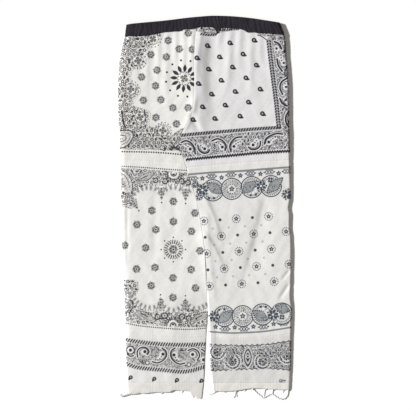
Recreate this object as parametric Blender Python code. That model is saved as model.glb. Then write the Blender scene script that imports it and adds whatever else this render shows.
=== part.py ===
"""Patchwork trousers laid flat with the seat side up.

Three bandana panels a leg, front and back, hang from a gathered elastic waistband and end in a
frayed hem. The front panels lie on the surface at z = 0 and the back panels lie on them.
+X is the viewer's right, +Y runs from the hems to the waist and +Z is up. Tables are in
millimetres and every length is real size.
"""

import math
from collections import namedtuple

import bmesh
import bpy

MM = 0.001

# Cloth and how the layers stack, in millimetres.
WALL = 1.2
HEM_WALL = 1.6
LAYER_GAP = 0.3
SEAM_GAP = 0.4
CENTRE_GAP = 1.0
BAND_WALL = 3.0
EDGE_HEIGHT = 2 * WALL + LAYER_GAP
LOFT = 2.2
HEM_LOFT = 0.9
SIDE_ROUNDING = 16.0
LEG_ROUNDING = 12.0
CROTCH_Y = 99.0
LEG_SPLIT_Y = -285.0
END_CROWDING = 0.25
HEM_LINE_Y = -491.0

# Waistband: width of the hidden half, gathers on each half and how far they stand out.
BAND_WIDTH = 33.0
BAND_GATHERS = 36
BAND_COLUMNS_PER_GATHER = 5
GATHER_RISE = 1.4
BAND_LOFT = 2.2
WAIST_RISE = 1.0
WAIST_RISE_REACH = 70.0
BAND_LIFT = 1.9
BAND_LIFT_FULL = 18.0
BAND_LIFT_GONE = 55.0
FRONT_WAIST_DROP = 12.0
FRONT_INSET = 1.0

# Where the two legs part: y of the place, x of the line between the legs.
CENTRE_LINE = (
    (536, -20), (502, -24), (474, -28), (435, -30), (384, -30.5), (314, -31), (258, -38),
    (232, -51.5), (208, -66), (183, -73.5), (155, -68), (127, -56), (99, -48), (60, -35),
    (20, -23), (-41, -11.5), (-120, -0.5), (-220, 5), (-285, 8), (-341, 7), (-426, 6.2),
    (-512, 7), (-536, 7),
)
# y of the place, half the width of the opening between the legs.
LEG_GAP = ((-285, 0), (-341, 4.2), (-374, 5.9), (-426, 8.2), (-477, 10.9), (-514, 15), (-536, 17))
# y of the place, x of the garment's side.
SIDE_LEFT = (
    (536, -214), (512, -220), (482, -224.5), (448, -233), (416, -238.5), (368, -242.6),
    (288, -243), (208, -240.5), (118, -237), (0, -234.5), (-66, -233), (-153, -230),
    (-274, -224.5), (-374, -221.8), (-477, -218.4), (-512, -216), (-536, -215),
)
SIDE_RIGHT = (
    (536, 203), (518, 209.5), (484, 222), (463, 225.4), (428, 227.5), (392, 230.7), (360, 233.8),
    (282, 235), (200, 237), (107, 238.8), (30, 239.6), (0, 235.5), (-18, 238), (-54, 238),
    (-84, 241.5), (-177, 242.2), (-250, 240), (-274, 243), (-341, 241.6), (-426, 240),
    (-508, 236.6), (-536, 236),
)
# x along the garment, y of the line.
BAND_TOP = (
    (-225, 511), (-201, 514.6), (-150, 519.4), (-107, 523.6), (-50, 530.6), (0, 535.2), (20, 536.4),
    (61, 535.6), (97, 533.2), (132, 529.4), (168, 524), (212, 517),
)
BAND_BOTTOM = (
    (-225, 481.5), (-180, 481.8), (-156, 484), (-124, 489.3), (-92, 493), (-59, 498), (-19, 503),
    (0, 504), (30, 503.5), (61, 502), (97, 498), (132, 493), (168, 488.8), (195, 486), (222, 483.6),
)
UPPER_SEAM_LEFT = ((-243, 134), (-130, 129), (-45, 121.5))
UPPER_SEAM_RIGHT = ((-60, 111.5), (94, 125.5), (243, 134))
LOWER_SEAM_LEFT = ((-230, -346), (-134, -360), (-50, -365), (10, -360))
LOWER_SEAM_RIGHT = ((0, -364.5), (70, -367.5), (140, -364.5), (243, -353))
RAW_EDGE_LEFT = (
    (-220, -515), (-176, -520), (-142, -517), (-100, -516.5), (-89, -511.5), (-49, -513.5),
    (-42, -517), (-38, -526), (-27, -530), (-15, -535.6), (-9, -533), (-4, -522),
)
RAW_EDGE_RIGHT = (
    (20, -514), (70, -513.5), (96, -511), (122, -506.5), (155, -506), (206, -509.5), (240, -510),
)

# Folds in the upper layer. The middle of each is bowed sideways by bow, and it is steeper on the
# side with the smaller width. A negative height is a trough.
Fold = namedtuple("Fold", "x0 y0 x1 y1 bow height left right")
PUCKERS = (
    Fold(-207, 486, -222, 420, 0, 0.9, 8, 8),
    Fold(-184, 486, -196, 350, 0, 1.3, 10, 9),
    Fold(-158, 490, -163, 300, -3, 1.1, 11, 9),
    Fold(-131, 495, -136, 340, 2, 1.4, 9, 9),
    Fold(-106, 498, -108, 260, -3, 1.2, 12, 10),
    Fold(-82, 501, -84, 380, 0, 1.3, 9, 8),
    Fold(-60, 505, -66, 300, 2, 1.4, 10, 9),
    Fold(-34, 508, -44, 360, 0, 1.5, 9, 8),
    Fold(-8, 510, -24, 330, -6, 1.9, 11, 8),
    Fold(46, 507, 30, 420, 0, 1.5, 8, 8),
    Fold(70, 508, 58, 330, 3, 1.7, 11, 10),
    Fold(98, 505, 92, 380, 0, 1.4, 10, 9),
    Fold(126, 497, 124, 300, 3, 1.3, 11, 10),
    Fold(152, 495, 156, 400, 0, 1.2, 9, 9),
    Fold(178, 491, 188, 330, 3, 1.2, 10, 10),
    Fold(204, 488, 214, 420, 0, 0.9, 8, 8),
)
CREASES = (
    Fold(20, 480, 20, 290, -7, -1.7, 12, 14),
    Fold(-58, 218, -24, 330, 6, 1.7, 12, 9),
    Fold(-40, 264, -10, 206, -2, -1.5, 8, 9),
    Fold(-6, 30, 50, -270, 12, 2.4, 15, 8),
    Fold(4, -20, 24, -214, -5, 1.6, 9, 9),
    Fold(168, 24, 90, -262, 6, -1.6, 14, 12),
    Fold(-219, 12, -218, -190, 0, -0.8, 6, 6),
    Fold(-140, 62, -150, -200, 4, -0.7, 12, 12),
    Fold(-82, 44, -88, -80, 0, -0.6, 11, 11),
    Fold(236, -214, 204, -262, 0, -1.1, 6, 6),
    Fold(236, -176, 212, -206, 0, -0.9, 5, 5),
    Fold(-20, -440, -70, -500, 0, 0.8, 9, 9),
)

# Columns of faces across the middle panels: the long valleys run down the right one.
MIDDLE_COLUMNS = {"left": 16, "right": 24}

# Threads and twists that hang from the raw edges: x and y of each point, radius at both ends.
Strand = namedtuple("Strand", "points root_radius tip_radius")
STRANDS_LEFT = (
    Strand(((-176, -513), (-192, -518), (-212, -521), (-233, -527), (-239, -524)), 3.0, 1.7),
    Strand(((-36, -522), (-33, -529), (-34, -534)), 0.5, 0.35),
    Strand(((-22, -526), (-21, -532), (-24, -534.5)), 0.5, 0.35),
    Strand(((-120, -513), (-122, -520), (-127, -522)), 0.5, 0.35),
    Strand(((-66, -509), (-64, -516), (-68, -519)), 0.5, 0.35),
)
STRANDS_RIGHT = (
    Strand(((34, -509), (30, -514), (22, -521), (11, -522.5)), 0.5, 0.4),
    Strand(((86, -507), (85, -518), (84, -526), (78, -534)), 0.9, 0.5),
    Strand(((88, -507), (87.5, -520), (89.5, -531)), 0.6, 0.4),
    Strand(((130, -502), (141, -515), (154, -526), (164, -534.5)), 0.9, 0.7),
    Strand(((171, -501), (167, -514), (166, -524), (165.6, -533)), 0.7, 0.5),
    Strand(((190, -503), (189.5, -514), (187.5, -522.5)), 0.8, 0.6),
    Strand(
        ((163, -534), (177, -525.5), (187, -522), (198, -529), (211, -535), (223, -534.5),
         (230.5, -526), (233, -512), (232, -503)),
        0.7, 0.9,
    ),
    Strand(((214, -504), (219, -513), (217, -519)), 0.5, 0.35),
    Strand(((56, -508), (54, -515), (57, -519)), 0.5, 0.35),
    Strand(((110, -503), (112, -511), (109, -515)), 0.5, 0.35),
)
STRAND_STEP = 4.0
STRAND_SIDES = 4
STRAND_FLOOR_GAP = 0.2

# Colours as the cloth shows from a step away: red, green, blue and roughness.
Finish = namedtuple("Finish", "red green blue roughness")
FINISHES = {
    "bandana_white": Finish(0.78, 0.78, 0.77, 0.9),
    "bandana_grey": Finish(0.42, 0.42, 0.44, 0.9),
    "frayed_cotton": Finish(0.82, 0.81, 0.77, 0.95),
    "waistband_black": Finish(0.035, 0.033, 0.038, 0.85),
}


def smooth_curve(table):
    """A function through the table's points that runs on smoothly from one to the next."""
    points = sorted(table)
    at = [p[0] for p in points]
    value = [p[1] for p in points]
    last = len(points) - 1
    slope = []
    for i in range(len(points)):
        before, after = max(i - 1, 0), min(i + 1, last)
        slope.append((value[after] - value[before]) / (at[after] - at[before]))

    def evaluate(where):
        where = min(max(where, at[0]), at[-1])
        i = 0
        while i < last - 1 and at[i + 1] < where:
            i += 1
        span = at[i + 1] - at[i]
        u = (where - at[i]) / span
        low = value[i] * (1 + 2 * u) * (1 - u) ** 2 + slope[i] * span * u * (1 - u) ** 2
        high = value[i + 1] * u * u * (3 - 2 * u) - slope[i + 1] * span * u * u * (1 - u)
        return low + high

    return evaluate


def smooth_step(low, high, where):
    """0 below low, 1 above high and an even rise between them."""
    u = min(max((where - low) / (high - low), 0), 1)
    return u * u * (3 - 2 * u)


centre_line = smooth_curve(CENTRE_LINE)
leg_gap = smooth_curve(LEG_GAP)
side_left = smooth_curve(SIDE_LEFT)
side_right = smooth_curve(SIDE_RIGHT)
band_top = smooth_curve(BAND_TOP)
band_bottom = smooth_curve(BAND_BOTTOM)


def inner_left(y):
    """The inner edge of the left leg: the seat seam above the crotch, then the inseam."""
    return centre_line(y) - max(leg_gap(y), 0)


def inner_right(y):
    """The inner edge of the right leg."""
    return centre_line(y) + max(leg_gap(y), 0)


def front_band_top(x):
    """The front of the waist dips below the back, most at the middle."""
    return band_top(x) - FRONT_WAIST_DROP * math.cos(math.pi * x / 500) - FRONT_INSET


def front_band_bottom(x):
    return front_band_top(x) - BAND_WIDTH


def at_height(height):
    """A level line, for a hem."""
    return lambda x: height


# A panel lies between two edges that give x for a y and two that give y for an x.
Outline = namedtuple("Outline", "left right bottom top")


def shifted(edge, sign, gap=SEAM_GAP):
    """The edge moved by half a seam gap, square to itself, to keep two panels apart."""

    def evaluate(where):
        slope = edge(where + 0.5) - edge(where - 0.5)
        return edge(where) + sign * gap / 2 * math.sqrt(1 + slope * slope)

    return evaluate


def inset(outline, by=0.0):
    """The outline with room for the seams all round, and taken in further by `by` at the sides."""
    left, right, bottom, top = outline
    left_in = shifted(left, 1, CENTRE_GAP)
    right_in = shifted(right, -1, CENTRE_GAP)
    return Outline(
        lambda y: left_in(y) + by,
        lambda y: right_in(y) - by,
        shifted(bottom, 1),
        shifted(top, -1),
    )


def place_in(outline, across, up):
    """The point at the share `across` from left to right and `up` from bottom to top."""
    y = outline.bottom(0) * (1 - up) + outline.top(0) * up
    for _ in range(6):
        x = outline.left(y) * (1 - across) + outline.right(y) * across
        y = outline.bottom(x) * (1 - up) + outline.top(x) * up
    return x, y


def fold_height(fold, x, y):
    """How far one fold lifts the cloth at a place."""
    run_x, run_y = fold.x1 - fold.x0, fold.y1 - fold.y0
    length = math.hypot(run_x, run_y)
    along = ((x - fold.x0) * run_x + (y - fold.y0) * run_y) / length**2
    if not -0.25 < along < 1.25:
        return 0.0
    aside = ((x - fold.x0) * run_y - (y - fold.y0) * run_x) / length
    if run_y > 0:
        aside = -aside
    aside = -aside - fold.bow * math.sin(math.pi * min(max(along, 0), 1))
    width = fold.left if aside < 0 else fold.right
    fade = smooth_step(-0.12, 0.12, along) * (1 - smooth_step(0.55, 1.1, along))
    return fold.height * fade * math.exp(-((aside / width) ** 2))


def pillow(distance, reach):
    """0 at an edge, rising roundly to 1 at reach from it."""
    u = min(max(distance / reach, 0), 1)
    return 1 - (1 - u) ** 2


def back_height(x, y):
    """The height of the upper layer's outer face over the surface."""
    side = min(x - side_left(y), side_right(y) - x)
    from_legs = abs(x - centre_line(y)) - max(leg_gap(y), 0)
    parted = smooth_step(-CROTCH_Y, -LEG_SPLIT_Y, -y)
    between_legs = 1 - parted * (1 - pillow(from_legs, LEG_ROUNDING))
    body = HEM_LOFT + (LOFT - HEM_LOFT) * smooth_step(HEM_LINE_Y, LEG_SPLIT_Y, y)
    below_band = max(band_bottom(x) - y, 0)
    body += WAIST_RISE * math.exp(-below_band / WAIST_RISE_REACH)
    folds = sum(fold_height(fold, x, y) for fold in PUCKERS + CREASES)
    edge = pillow(side, SIDE_ROUNDING) * between_legs
    over_band = BAND_LIFT * (1 - smooth_step(BAND_LIFT_FULL, BAND_LIFT_GONE, below_band))
    return EDGE_HEIGHT + max(over_band, (body + max(folds, -0.8 * body)) * edge)


def band_height(x, y, across):
    """The height of the upper half of the waistband, with its gathers."""
    side = min(x - side_left(y), side_right(y) - x)
    rounded = pillow(side, SIDE_ROUNDING)
    gather = 0.5 - 0.5 * math.cos(2 * math.pi * BAND_GATHERS * across)
    uneven = 0.75 + 0.25 * math.sin(11 * across + 3 * math.sin(7 * across))
    top = 2 * BAND_WALL + LAYER_GAP + BAND_LOFT * rounded
    return top + GATHER_RISE * gather * uneven * (0.3 + 0.7 * rounded)


def spread(count, crowding=0.0):
    """Shares from 0 to 1: evenly apart, or closer together at both ends where crowding is over 0."""
    return [
        i / count - crowding * math.sin(2 * math.pi * i / count) / (2 * math.pi)
        for i in range(count + 1)
    ]


def finish_material(name, finish):
    """The object's own material, in that finish."""
    material = bpy.data.materials.new(name)
    material.use_nodes = True
    shader = material.node_tree.nodes["Principled BSDF"]
    shader.inputs["Base Color"].default_value = (finish.red, finish.green, finish.blue, 1)
    shader.inputs["Roughness"].default_value = finish.roughness
    shader.inputs["Metallic"].default_value = 0.0
    material.diffuse_color = (finish.red, finish.green, finish.blue, 1)
    return material


def add_object(name, mesh, collection, finish):
    obj = bpy.data.objects.new(name, mesh)
    collection.objects.link(obj)
    mesh.materials.append(finish_material(name, FINISHES[finish]))
    return obj


def sheet_mesh(name, outline, height, wall, across_shares, up_shares):
    """A grid over the outline, raised by height(x, y, across), with its wall below that face."""
    bm = bmesh.new()
    columns, rows = len(across_shares) - 1, len(up_shares) - 1
    bmesh.ops.create_grid(bm, x_segments=columns, y_segments=rows, size=1)
    for vert in bm.verts:
        across = across_shares[round((vert.co.x + 1) / 2 * columns)]
        up = up_shares[round((vert.co.y + 1) / 2 * rows)]
        x, y = place_in(outline, across, up)
        vert.co = (x * MM, y * MM, height(x, y, across) * MM)
    doubled = bmesh.ops.extrude_face_region(bm, geom=bm.faces[:], use_keep_orig=True)
    lower = [item for item in doubled["geom"] if isinstance(item, bmesh.types.BMVert)]
    bmesh.ops.translate(bm, verts=lower, vec=(0, 0, -wall * MM))
    bmesh.ops.recalc_face_normals(bm, faces=bm.faces)
    mesh = bpy.data.meshes.new(name)
    bm.to_mesh(mesh)
    bm.free()
    return mesh


def back_panel(name, outline, columns, rows, collection, finish):
    """A panel of the upper layer, with its folds."""
    mesh = sheet_mesh(
        name, inset(outline), lambda x, y, across: back_height(x, y), WALL, spread(columns),
        spread(rows, END_CROWDING),
    )
    return add_object(name, mesh, collection, finish)


def front_panel(name, outline, columns, rows, collection, finish, wall=WALL):
    """A panel of the lower layer, flat on the surface."""
    mesh = sheet_mesh(
        name, inset(outline, FRONT_INSET), lambda x, y, across: wall, wall, spread(columns),
        spread(rows, END_CROWDING),
    )
    return add_object(name, mesh, collection, finish)


def strand_curve(name, strand, height_of):
    """A thread as a curve that thins towards its tip and comes down to the surface."""
    curve = bpy.data.curves.new(name, "CURVE")
    curve.dimensions = "3D"
    curve.bevel_depth = MM
    curve.bevel_resolution = (STRAND_SIDES - 4) // 2
    curve.use_fill_caps = True
    points = smooth_route(strand.points)
    spline = curve.splines.new("POLY")
    spline.points.add(len(points) - 1)
    for i, (x, y) in enumerate(points):
        share = i / (len(points) - 1)
        radius = strand.root_radius * (1 - share) + strand.tip_radius * share
        z = max(height_of(x, y, share), radius + STRAND_FLOOR_GAP)
        spline.points[i].co = (x * MM, y * MM, z * MM, 1)
        spline.points[i].radius = radius
    return bpy.data.objects.new(name, curve)


def smooth_route(points):
    """The points of a smooth line through a strand's few points, one every few millimetres."""
    lengths = [0.0]
    for (x0, y0), (x1, y1) in zip(points, points[1:]):
        lengths.append(lengths[-1] + math.hypot(x1 - x0, y1 - y0))
    along_x = smooth_curve([(at, p[0]) for at, p in zip(lengths, points)])
    along_y = smooth_curve([(at, p[1]) for at, p in zip(lengths, points)])
    count = max(3, round(lengths[-1] / STRAND_STEP))
    return [
        (along_x(lengths[-1] * i / count), along_y(lengths[-1] * i / count))
        for i in range(count + 1)
    ]


def curve_to_mesh(obj, collection):
    """The curve's own mesh as a closed object in the same place."""
    collection.objects.link(obj)
    bpy.context.view_layer.update()
    evaluated = obj.evaluated_get(bpy.context.evaluated_depsgraph_get())
    mesh = bpy.data.meshes.new_from_object(evaluated)
    bm = bmesh.new()
    bm.from_mesh(mesh)
    bmesh.ops.remove_doubles(bm, verts=bm.verts, dist=0.01 * MM)
    bmesh.ops.recalc_face_normals(bm, faces=bm.faces)
    bm.to_mesh(mesh)
    bm.free()
    made = bpy.data.objects.new(obj.name, mesh)
    made.matrix_world = obj.matrix_world
    bpy.data.objects.remove(obj)
    made.display_type = "WIRE"
    made.hide_render = True
    collection.objects.link(made)
    return made


def back_hem(name, outline, columns, strands, raw_edge, collection, tools):
    """The frayed strip below a back panel, with the threads that hang from its raw edge."""
    mesh = sheet_mesh(
        name, inset(outline), lambda x, y, across: back_height(x, y) + HEM_WALL - WALL, HEM_WALL,
        spread(columns), spread(3),
    )
    strip = add_object(name, mesh, collection, "frayed_cotton")

    def height_of(x, y, share):
        in_strip = back_height(x, max(y, raw_edge(x))) - WALL + HEM_WALL / 2
        out = smooth_step(-2, 10, raw_edge(x) - y)
        return in_strip * (1 - out)

    for i, strand in enumerate(strands):
        thread = curve_to_mesh(strand_curve(f"{name}_strand_{i}", strand, height_of), tools)
        union = strip.modifiers.new(f"strand_{i}", "BOOLEAN")
        union.operation = "UNION"
        union.object = thread
    return strip


def waistband_back(collection):
    """The upper half of the waistband: gathers on a plain, stretched inside."""
    outline = inset(Outline(side_left, side_right, band_bottom, band_top))
    columns = BAND_GATHERS * BAND_COLUMNS_PER_GATHER
    mesh = sheet_mesh("waistband_back", outline, band_height, BAND_WALL, spread(columns), spread(2))
    return add_object("waistband_back", mesh, collection, "waistband_black")


def build():
    for obj in list(bpy.data.objects):
        bpy.data.objects.remove(obj)
    trousers = bpy.data.collections.new("patchwork_trousers")
    tools = bpy.data.collections.new("strand_cutters")
    bpy.context.scene.collection.children.link(trousers)
    bpy.context.scene.collection.children.link(tools)

    upper_seam = {"left": smooth_curve(UPPER_SEAM_LEFT), "right": smooth_curve(UPPER_SEAM_RIGHT)}
    lower_seam = {"left": smooth_curve(LOWER_SEAM_LEFT), "right": smooth_curve(LOWER_SEAM_RIGHT)}
    raw_edge = {"left": smooth_curve(RAW_EDGE_LEFT), "right": smooth_curve(RAW_EDGE_RIGHT)}
    strands = {"left": STRANDS_LEFT, "right": STRANDS_RIGHT}
    edges = {"left": (side_left, inner_left), "right": (inner_right, side_right)}
    hem_line = at_height(HEM_LINE_Y)
    front_raw_edge = at_height(HEM_LINE_Y - 14)

    for leg, (left, right) in edges.items():
        upper = Outline(left, right, upper_seam[leg], band_bottom)
        middle = Outline(left, right, lower_seam[leg], upper_seam[leg])
        lower = Outline(left, right, hem_line, lower_seam[leg])
        raw = Outline(left, right, raw_edge[leg], hem_line)
        tone = {"left": "bandana_grey", "right": "bandana_white"}[leg]
        back_panel(f"back_upper_{leg}", upper, 28, 20, trousers, tone)
        back_panel(f"back_middle_{leg}", middle, MIDDLE_COLUMNS[leg], 20, trousers, "bandana_white")
        back_panel(f"back_lower_{leg}", lower, 12, 7, trousers, "bandana_grey")
        back_hem(f"back_hem_{leg}", raw, 26, strands[leg], raw_edge[leg], trousers, tools)

        front_upper = Outline(left, right, upper_seam[leg], front_band_bottom)
        front_panel(f"front_upper_{leg}", front_upper, 12, 12, trousers, tone)
        front_panel(f"front_middle_{leg}", middle, 4, 10, trousers, "bandana_white")
        front_panel(f"front_lower_{leg}", lower, 4, 4, trousers, "bandana_grey")
        front_raw = Outline(left, right, front_raw_edge, hem_line)
        front_panel(f"front_hem_{leg}", front_raw, 6, 1, trousers, "frayed_cotton")

    waistband_back(trousers)
    front_band = Outline(side_left, side_right, front_band_bottom, front_band_top)
    front_panel("waistband_front", front_band, 24, 1, trousers, "waistband_black", BAND_WALL)


build()
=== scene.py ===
"""Looks of the patchwork trousers that lie flat with the seat side up.

Every panel is a thin sheet on the form of its solid, with its print worked out at each point of
the sheet. Tables are in millimetres on the surface: +X to the right, +Y towards the waistband.
"""

import math
from collections import namedtuple

import bpy
import numpy as np
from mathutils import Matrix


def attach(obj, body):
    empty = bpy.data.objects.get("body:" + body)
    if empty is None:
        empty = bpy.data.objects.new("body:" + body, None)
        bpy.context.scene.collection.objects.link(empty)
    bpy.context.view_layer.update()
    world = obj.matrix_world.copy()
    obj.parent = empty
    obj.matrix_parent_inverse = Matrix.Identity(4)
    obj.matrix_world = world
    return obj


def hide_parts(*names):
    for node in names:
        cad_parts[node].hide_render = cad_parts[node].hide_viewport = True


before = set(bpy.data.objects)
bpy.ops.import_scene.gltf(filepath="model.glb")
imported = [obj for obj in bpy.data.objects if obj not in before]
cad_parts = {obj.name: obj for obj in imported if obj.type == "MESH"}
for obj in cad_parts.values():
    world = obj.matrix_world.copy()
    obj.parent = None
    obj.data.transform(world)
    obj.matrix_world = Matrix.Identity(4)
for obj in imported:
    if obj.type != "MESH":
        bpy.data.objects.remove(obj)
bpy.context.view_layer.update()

MM = 0.001

# Cloth and how the layers stack.
WALL = 1.2
LAYER_GAP = 0.3
BAND_WALL = 3.0
EDGE_HEIGHT = 2 * WALL + LAYER_GAP
LOFT = 2.2
HEM_LOFT = 0.9
WAIST_RISE = 1.0
WAIST_RISE_REACH = 70.0
BAND_LIFT = 1.9
BAND_LIFT_FULL = 18.0
BAND_LIFT_GONE = 55.0
SIDE_ROUNDING = 16.0
RIGHT_ROUNDING = (5.0, 5.0)
RIGHT_RISE = 1.5
RIGHT_RISE_REACH = 26.0
LEG_ROUNDING = 3.0
LEG_EDGE_DROP = 1.7
LEG_EDGE_REACH = 3.0
LEFT_LEG_THINS = 90.0
LEFT_LEG_THINNEST = 0.15
CROTCH_Y = 99.0
LEG_SPLIT_Y = -285.0
LEGS_PART_FROM = 225.0
HEM_LINE_Y = -491.0
FLOOR_LAYER_Z = 0.5
FRONT_INSET = 1.0
FRONT_WAIST_DROP = 12.0

# Spacing of the points of a sheet that shows, and of one on the underside.
SHOWN_STEP = 1.3
UNDER_STEP = 2.0
ROLL_STEPS = 5
ROLL_BULGE = 0.5

# Waistband.
BAND_WIDTH = 33.0
BAND_GATHERS = 36
GATHER_RISE = 1.0
BAND_LOFT = 2.2

# Where the two legs part: y of the place, x of the line between the legs.
CENTRE_LINE = (
    (536, -20), (502, -24), (474, -28), (435, -30), (384, -30.5), (314, -31), (258, -38),
    (232, -51.5), (208, -66), (183, -73.5), (155, -68), (127, -56), (99, -48), (60, -35),
    (20, -23), (-41, -11.5), (-120, -0.5), (-220, 5), (-285, 8), (-341, 7), (-426, 6.2),
    (-512, 7), (-536, 7),
)
# y of the place, half the width of the opening between the legs.
LEG_GAP = ((-285, 0), (-341, 4.2), (-374, 5.9), (-426, 8.2), (-477, 10.9), (-514, 15), (-536, 17))
# y of the place, x of the garment's side.
SIDE_LEFT = (
    (536, -214), (512, -220), (482, -224.5), (448, -233), (416, -238.5), (368, -242.6),
    (288, -243), (208, -240.5), (118, -237), (0, -234.5), (-66, -233), (-153, -230),
    (-274, -224.5), (-374, -221.8), (-477, -218.4), (-512, -216), (-536, -215),
)
SIDE_RIGHT = (
    (536, 203), (518, 209.5), (484, 222), (463, 225.4), (428, 227.5), (392, 230.7), (360, 233.8),
    (282, 235), (200, 237), (107, 238.8), (30, 239.6), (0, 235.5), (-18, 238), (-54, 238),
    (-84, 241.5), (-177, 242.2), (-250, 240), (-274, 243), (-341, 241.6), (-426, 240),
    (-508, 236.6), (-536, 236),
)
# x along the garment, y of the line.
BAND_TOP = (
    (-225, 511), (-201, 514.6), (-150, 519.4), (-107, 523.6), (-50, 530.6), (0, 535.2), (20, 536.4),
    (61, 535.6), (97, 533.2), (132, 529.4), (168, 524), (212, 517),
)
BAND_BOTTOM = (
    (-225, 481.5), (-180, 481.8), (-156, 484), (-124, 489.3), (-92, 493), (-59, 498), (-19, 503),
    (0, 504), (30, 503.5), (61, 502), (97, 498), (132, 493), (168, 488.8), (195, 486), (222, 483.6),
)
UPPER_SEAM_LEFT = ((-243, 134), (-130, 129), (-45, 121.5))
UPPER_SEAM_RIGHT = ((-60, 111.5), (94, 125.5), (243, 134))
LOWER_SEAM_LEFT = ((-230, -346), (-134, -360), (-50, -365), (10, -360))
LOWER_SEAM_RIGHT = ((0, -364.5), (70, -367.5), (140, -364.5), (243, -353))
RAW_EDGE_LEFT = (
    (-220, -515), (-176, -520), (-142, -517), (-100, -516.5), (-89, -511.5), (-49, -513.5),
    (-42, -517), (-38, -526), (-27, -530), (-15, -535.6), (-9, -533), (-4, -522),
)
RAW_EDGE_RIGHT = (
    (20, -514), (70, -513.5), (96, -511), (122, -506.5), (155, -506), (206, -509.5), (240, -510),
)

# Folds in the upper layer. The middle of each is bowed sideways by bow, and it is steeper on the
# side with the smaller width. A negative height is a trough.
Fold = namedtuple("Fold", "x0 y0 x1 y1 bow height left right")
PUCKERS = (
    Fold(-207, 486, -222, 420, 0, 0.56, 8, 8),
    Fold(-184, 486, -196, 350, 0, 0.81, 10, 9),
    Fold(-158, 490, -163, 300, -3, 0.69, 11, 9),
    Fold(-131, 495, -136, 340, 2, 0.87, 9, 9),
    Fold(-106, 498, -108, 260, -3, 0.75, 12, 10),
    Fold(-82, 501, -84, 380, 0, 0.81, 9, 8),
    Fold(-60, 505, -66, 300, 2, 0.87, 10, 9),
    Fold(-34, 508, -44, 360, 0, 0.94, 9, 8),
    Fold(-8, 510, -24, 330, -6, 1.18, 11, 8),
    Fold(46, 507, 34, 440, 0, 0.68, 8, 9),
    Fold(70, 508, 58, 330, 3, 1.05, 11, 10),
    Fold(98, 505, 92, 380, 0, 0.87, 10, 9),
    Fold(126, 497, 124, 300, 3, 0.81, 11, 10),
    Fold(152, 495, 156, 400, 0, 0.74, 9, 9),
    Fold(178, 491, 188, 330, 3, 0.74, 10, 10),
    Fold(204, 488, 214, 420, 0, 0.56, 8, 8),
)
CREASES = (
    Fold(20, 480, 24, 290, -7, -1.3, 16, 26),
    Fold(-58, 218, -24, 330, 6, 1.7, 12, 9),
    Fold(-40, 264, -10, 206, -2, -1.5, 8, 9),
    Fold(-15, 480, -18, 160, 0, 3.5, 80, 25),
    Fold(-6, 36, 46, -112, 6, 1.6, 34, 8),
    Fold(-5, -70, 52, -176, 5, 1.5, 34, 8),
    Fold(12, -176, 26, -262, 3, 0.9, 20, 8),
    Fold(33, -290, 36, -500, 0, -0.9, 9, 16),
    Fold(4, -20, 24, -214, -5, 1.2, 17, 9),
    Fold(168, 24, 90, -262, 6, -1.6, 12, 34),
    Fold(-219, 12, -218, -190, 0, -0.8, 6, 6),
    Fold(-140, 62, -150, -200, 4, -0.7, 12, 12),
    Fold(-82, 44, -88, -80, 0, -0.6, 11, 11),
    Fold(236, -214, 204, -262, 0, -1.1, 6, 6),
    Fold(236, -176, 212, -206, 0, -0.9, 5, 5),
    Fold(-20, -440, -70, -500, 0, 0.8, 9, 9),
)


class SmoothCurve:
    """A line that runs on smoothly through a table's points, read at whole arrays of places."""

    def __init__(self, table):
        points = sorted(table)
        self.at = np.array([p[0] for p in points], float)
        self.value = np.array([p[1] for p in points], float)
        places = np.arange(len(points))
        before, after = np.maximum(places - 1, 0), np.minimum(places + 1, len(points) - 1)
        self.slope = (self.value[after] - self.value[before]) / (self.at[after] - self.at[before])

    def __call__(self, where):
        where = np.clip(where, self.at[0], self.at[-1])
        i = np.clip(np.searchsorted(self.at, where, side="right") - 1, 0, len(self.at) - 2)
        span = self.at[i + 1] - self.at[i]
        u = (where - self.at[i]) / span
        low = self.value[i] * (1 + 2 * u) * (1 - u) ** 2 + self.slope[i] * span * u * (1 - u) ** 2
        high = (
            self.value[i + 1] * u * u * (3 - 2 * u)
            - self.slope[i + 1] * span * u * u * (1 - u)
        )
        return low + high


centre_line = SmoothCurve(CENTRE_LINE)
leg_gap = SmoothCurve(LEG_GAP)
side_left = SmoothCurve(SIDE_LEFT)
side_right = SmoothCurve(SIDE_RIGHT)
band_top = SmoothCurve(BAND_TOP)
band_bottom = SmoothCurve(BAND_BOTTOM)
upper_seam = {"left": SmoothCurve(UPPER_SEAM_LEFT), "right": SmoothCurve(UPPER_SEAM_RIGHT)}
lower_seam = {"left": SmoothCurve(LOWER_SEAM_LEFT), "right": SmoothCurve(LOWER_SEAM_RIGHT)}
raw_edge = {"left": SmoothCurve(RAW_EDGE_LEFT), "right": SmoothCurve(RAW_EDGE_RIGHT)}


def inner_left(y):
    """The inner edge of the left leg: the seat seam above the crotch, then the inseam."""
    return centre_line(y) - np.maximum(leg_gap(y), 0)


def inner_right(y):
    """The inner edge of the right leg."""
    return centre_line(y) + np.maximum(leg_gap(y), 0)


def level(height):
    """A level line, for a hem."""
    return lambda x: height + 0 * x


def smooth_step(low, high, where):
    """0 below low, 1 above high and an even rise between them."""
    u = np.clip((where - low) / (high - low), 0, 1)
    return u * u * (3 - 2 * u)


def pillow(distance, reach):
    """0 at an edge, rising roundly to 1 at reach from it."""
    u = np.clip(distance / reach, 0, 1)
    return 1 - (1 - u) ** 2


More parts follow.
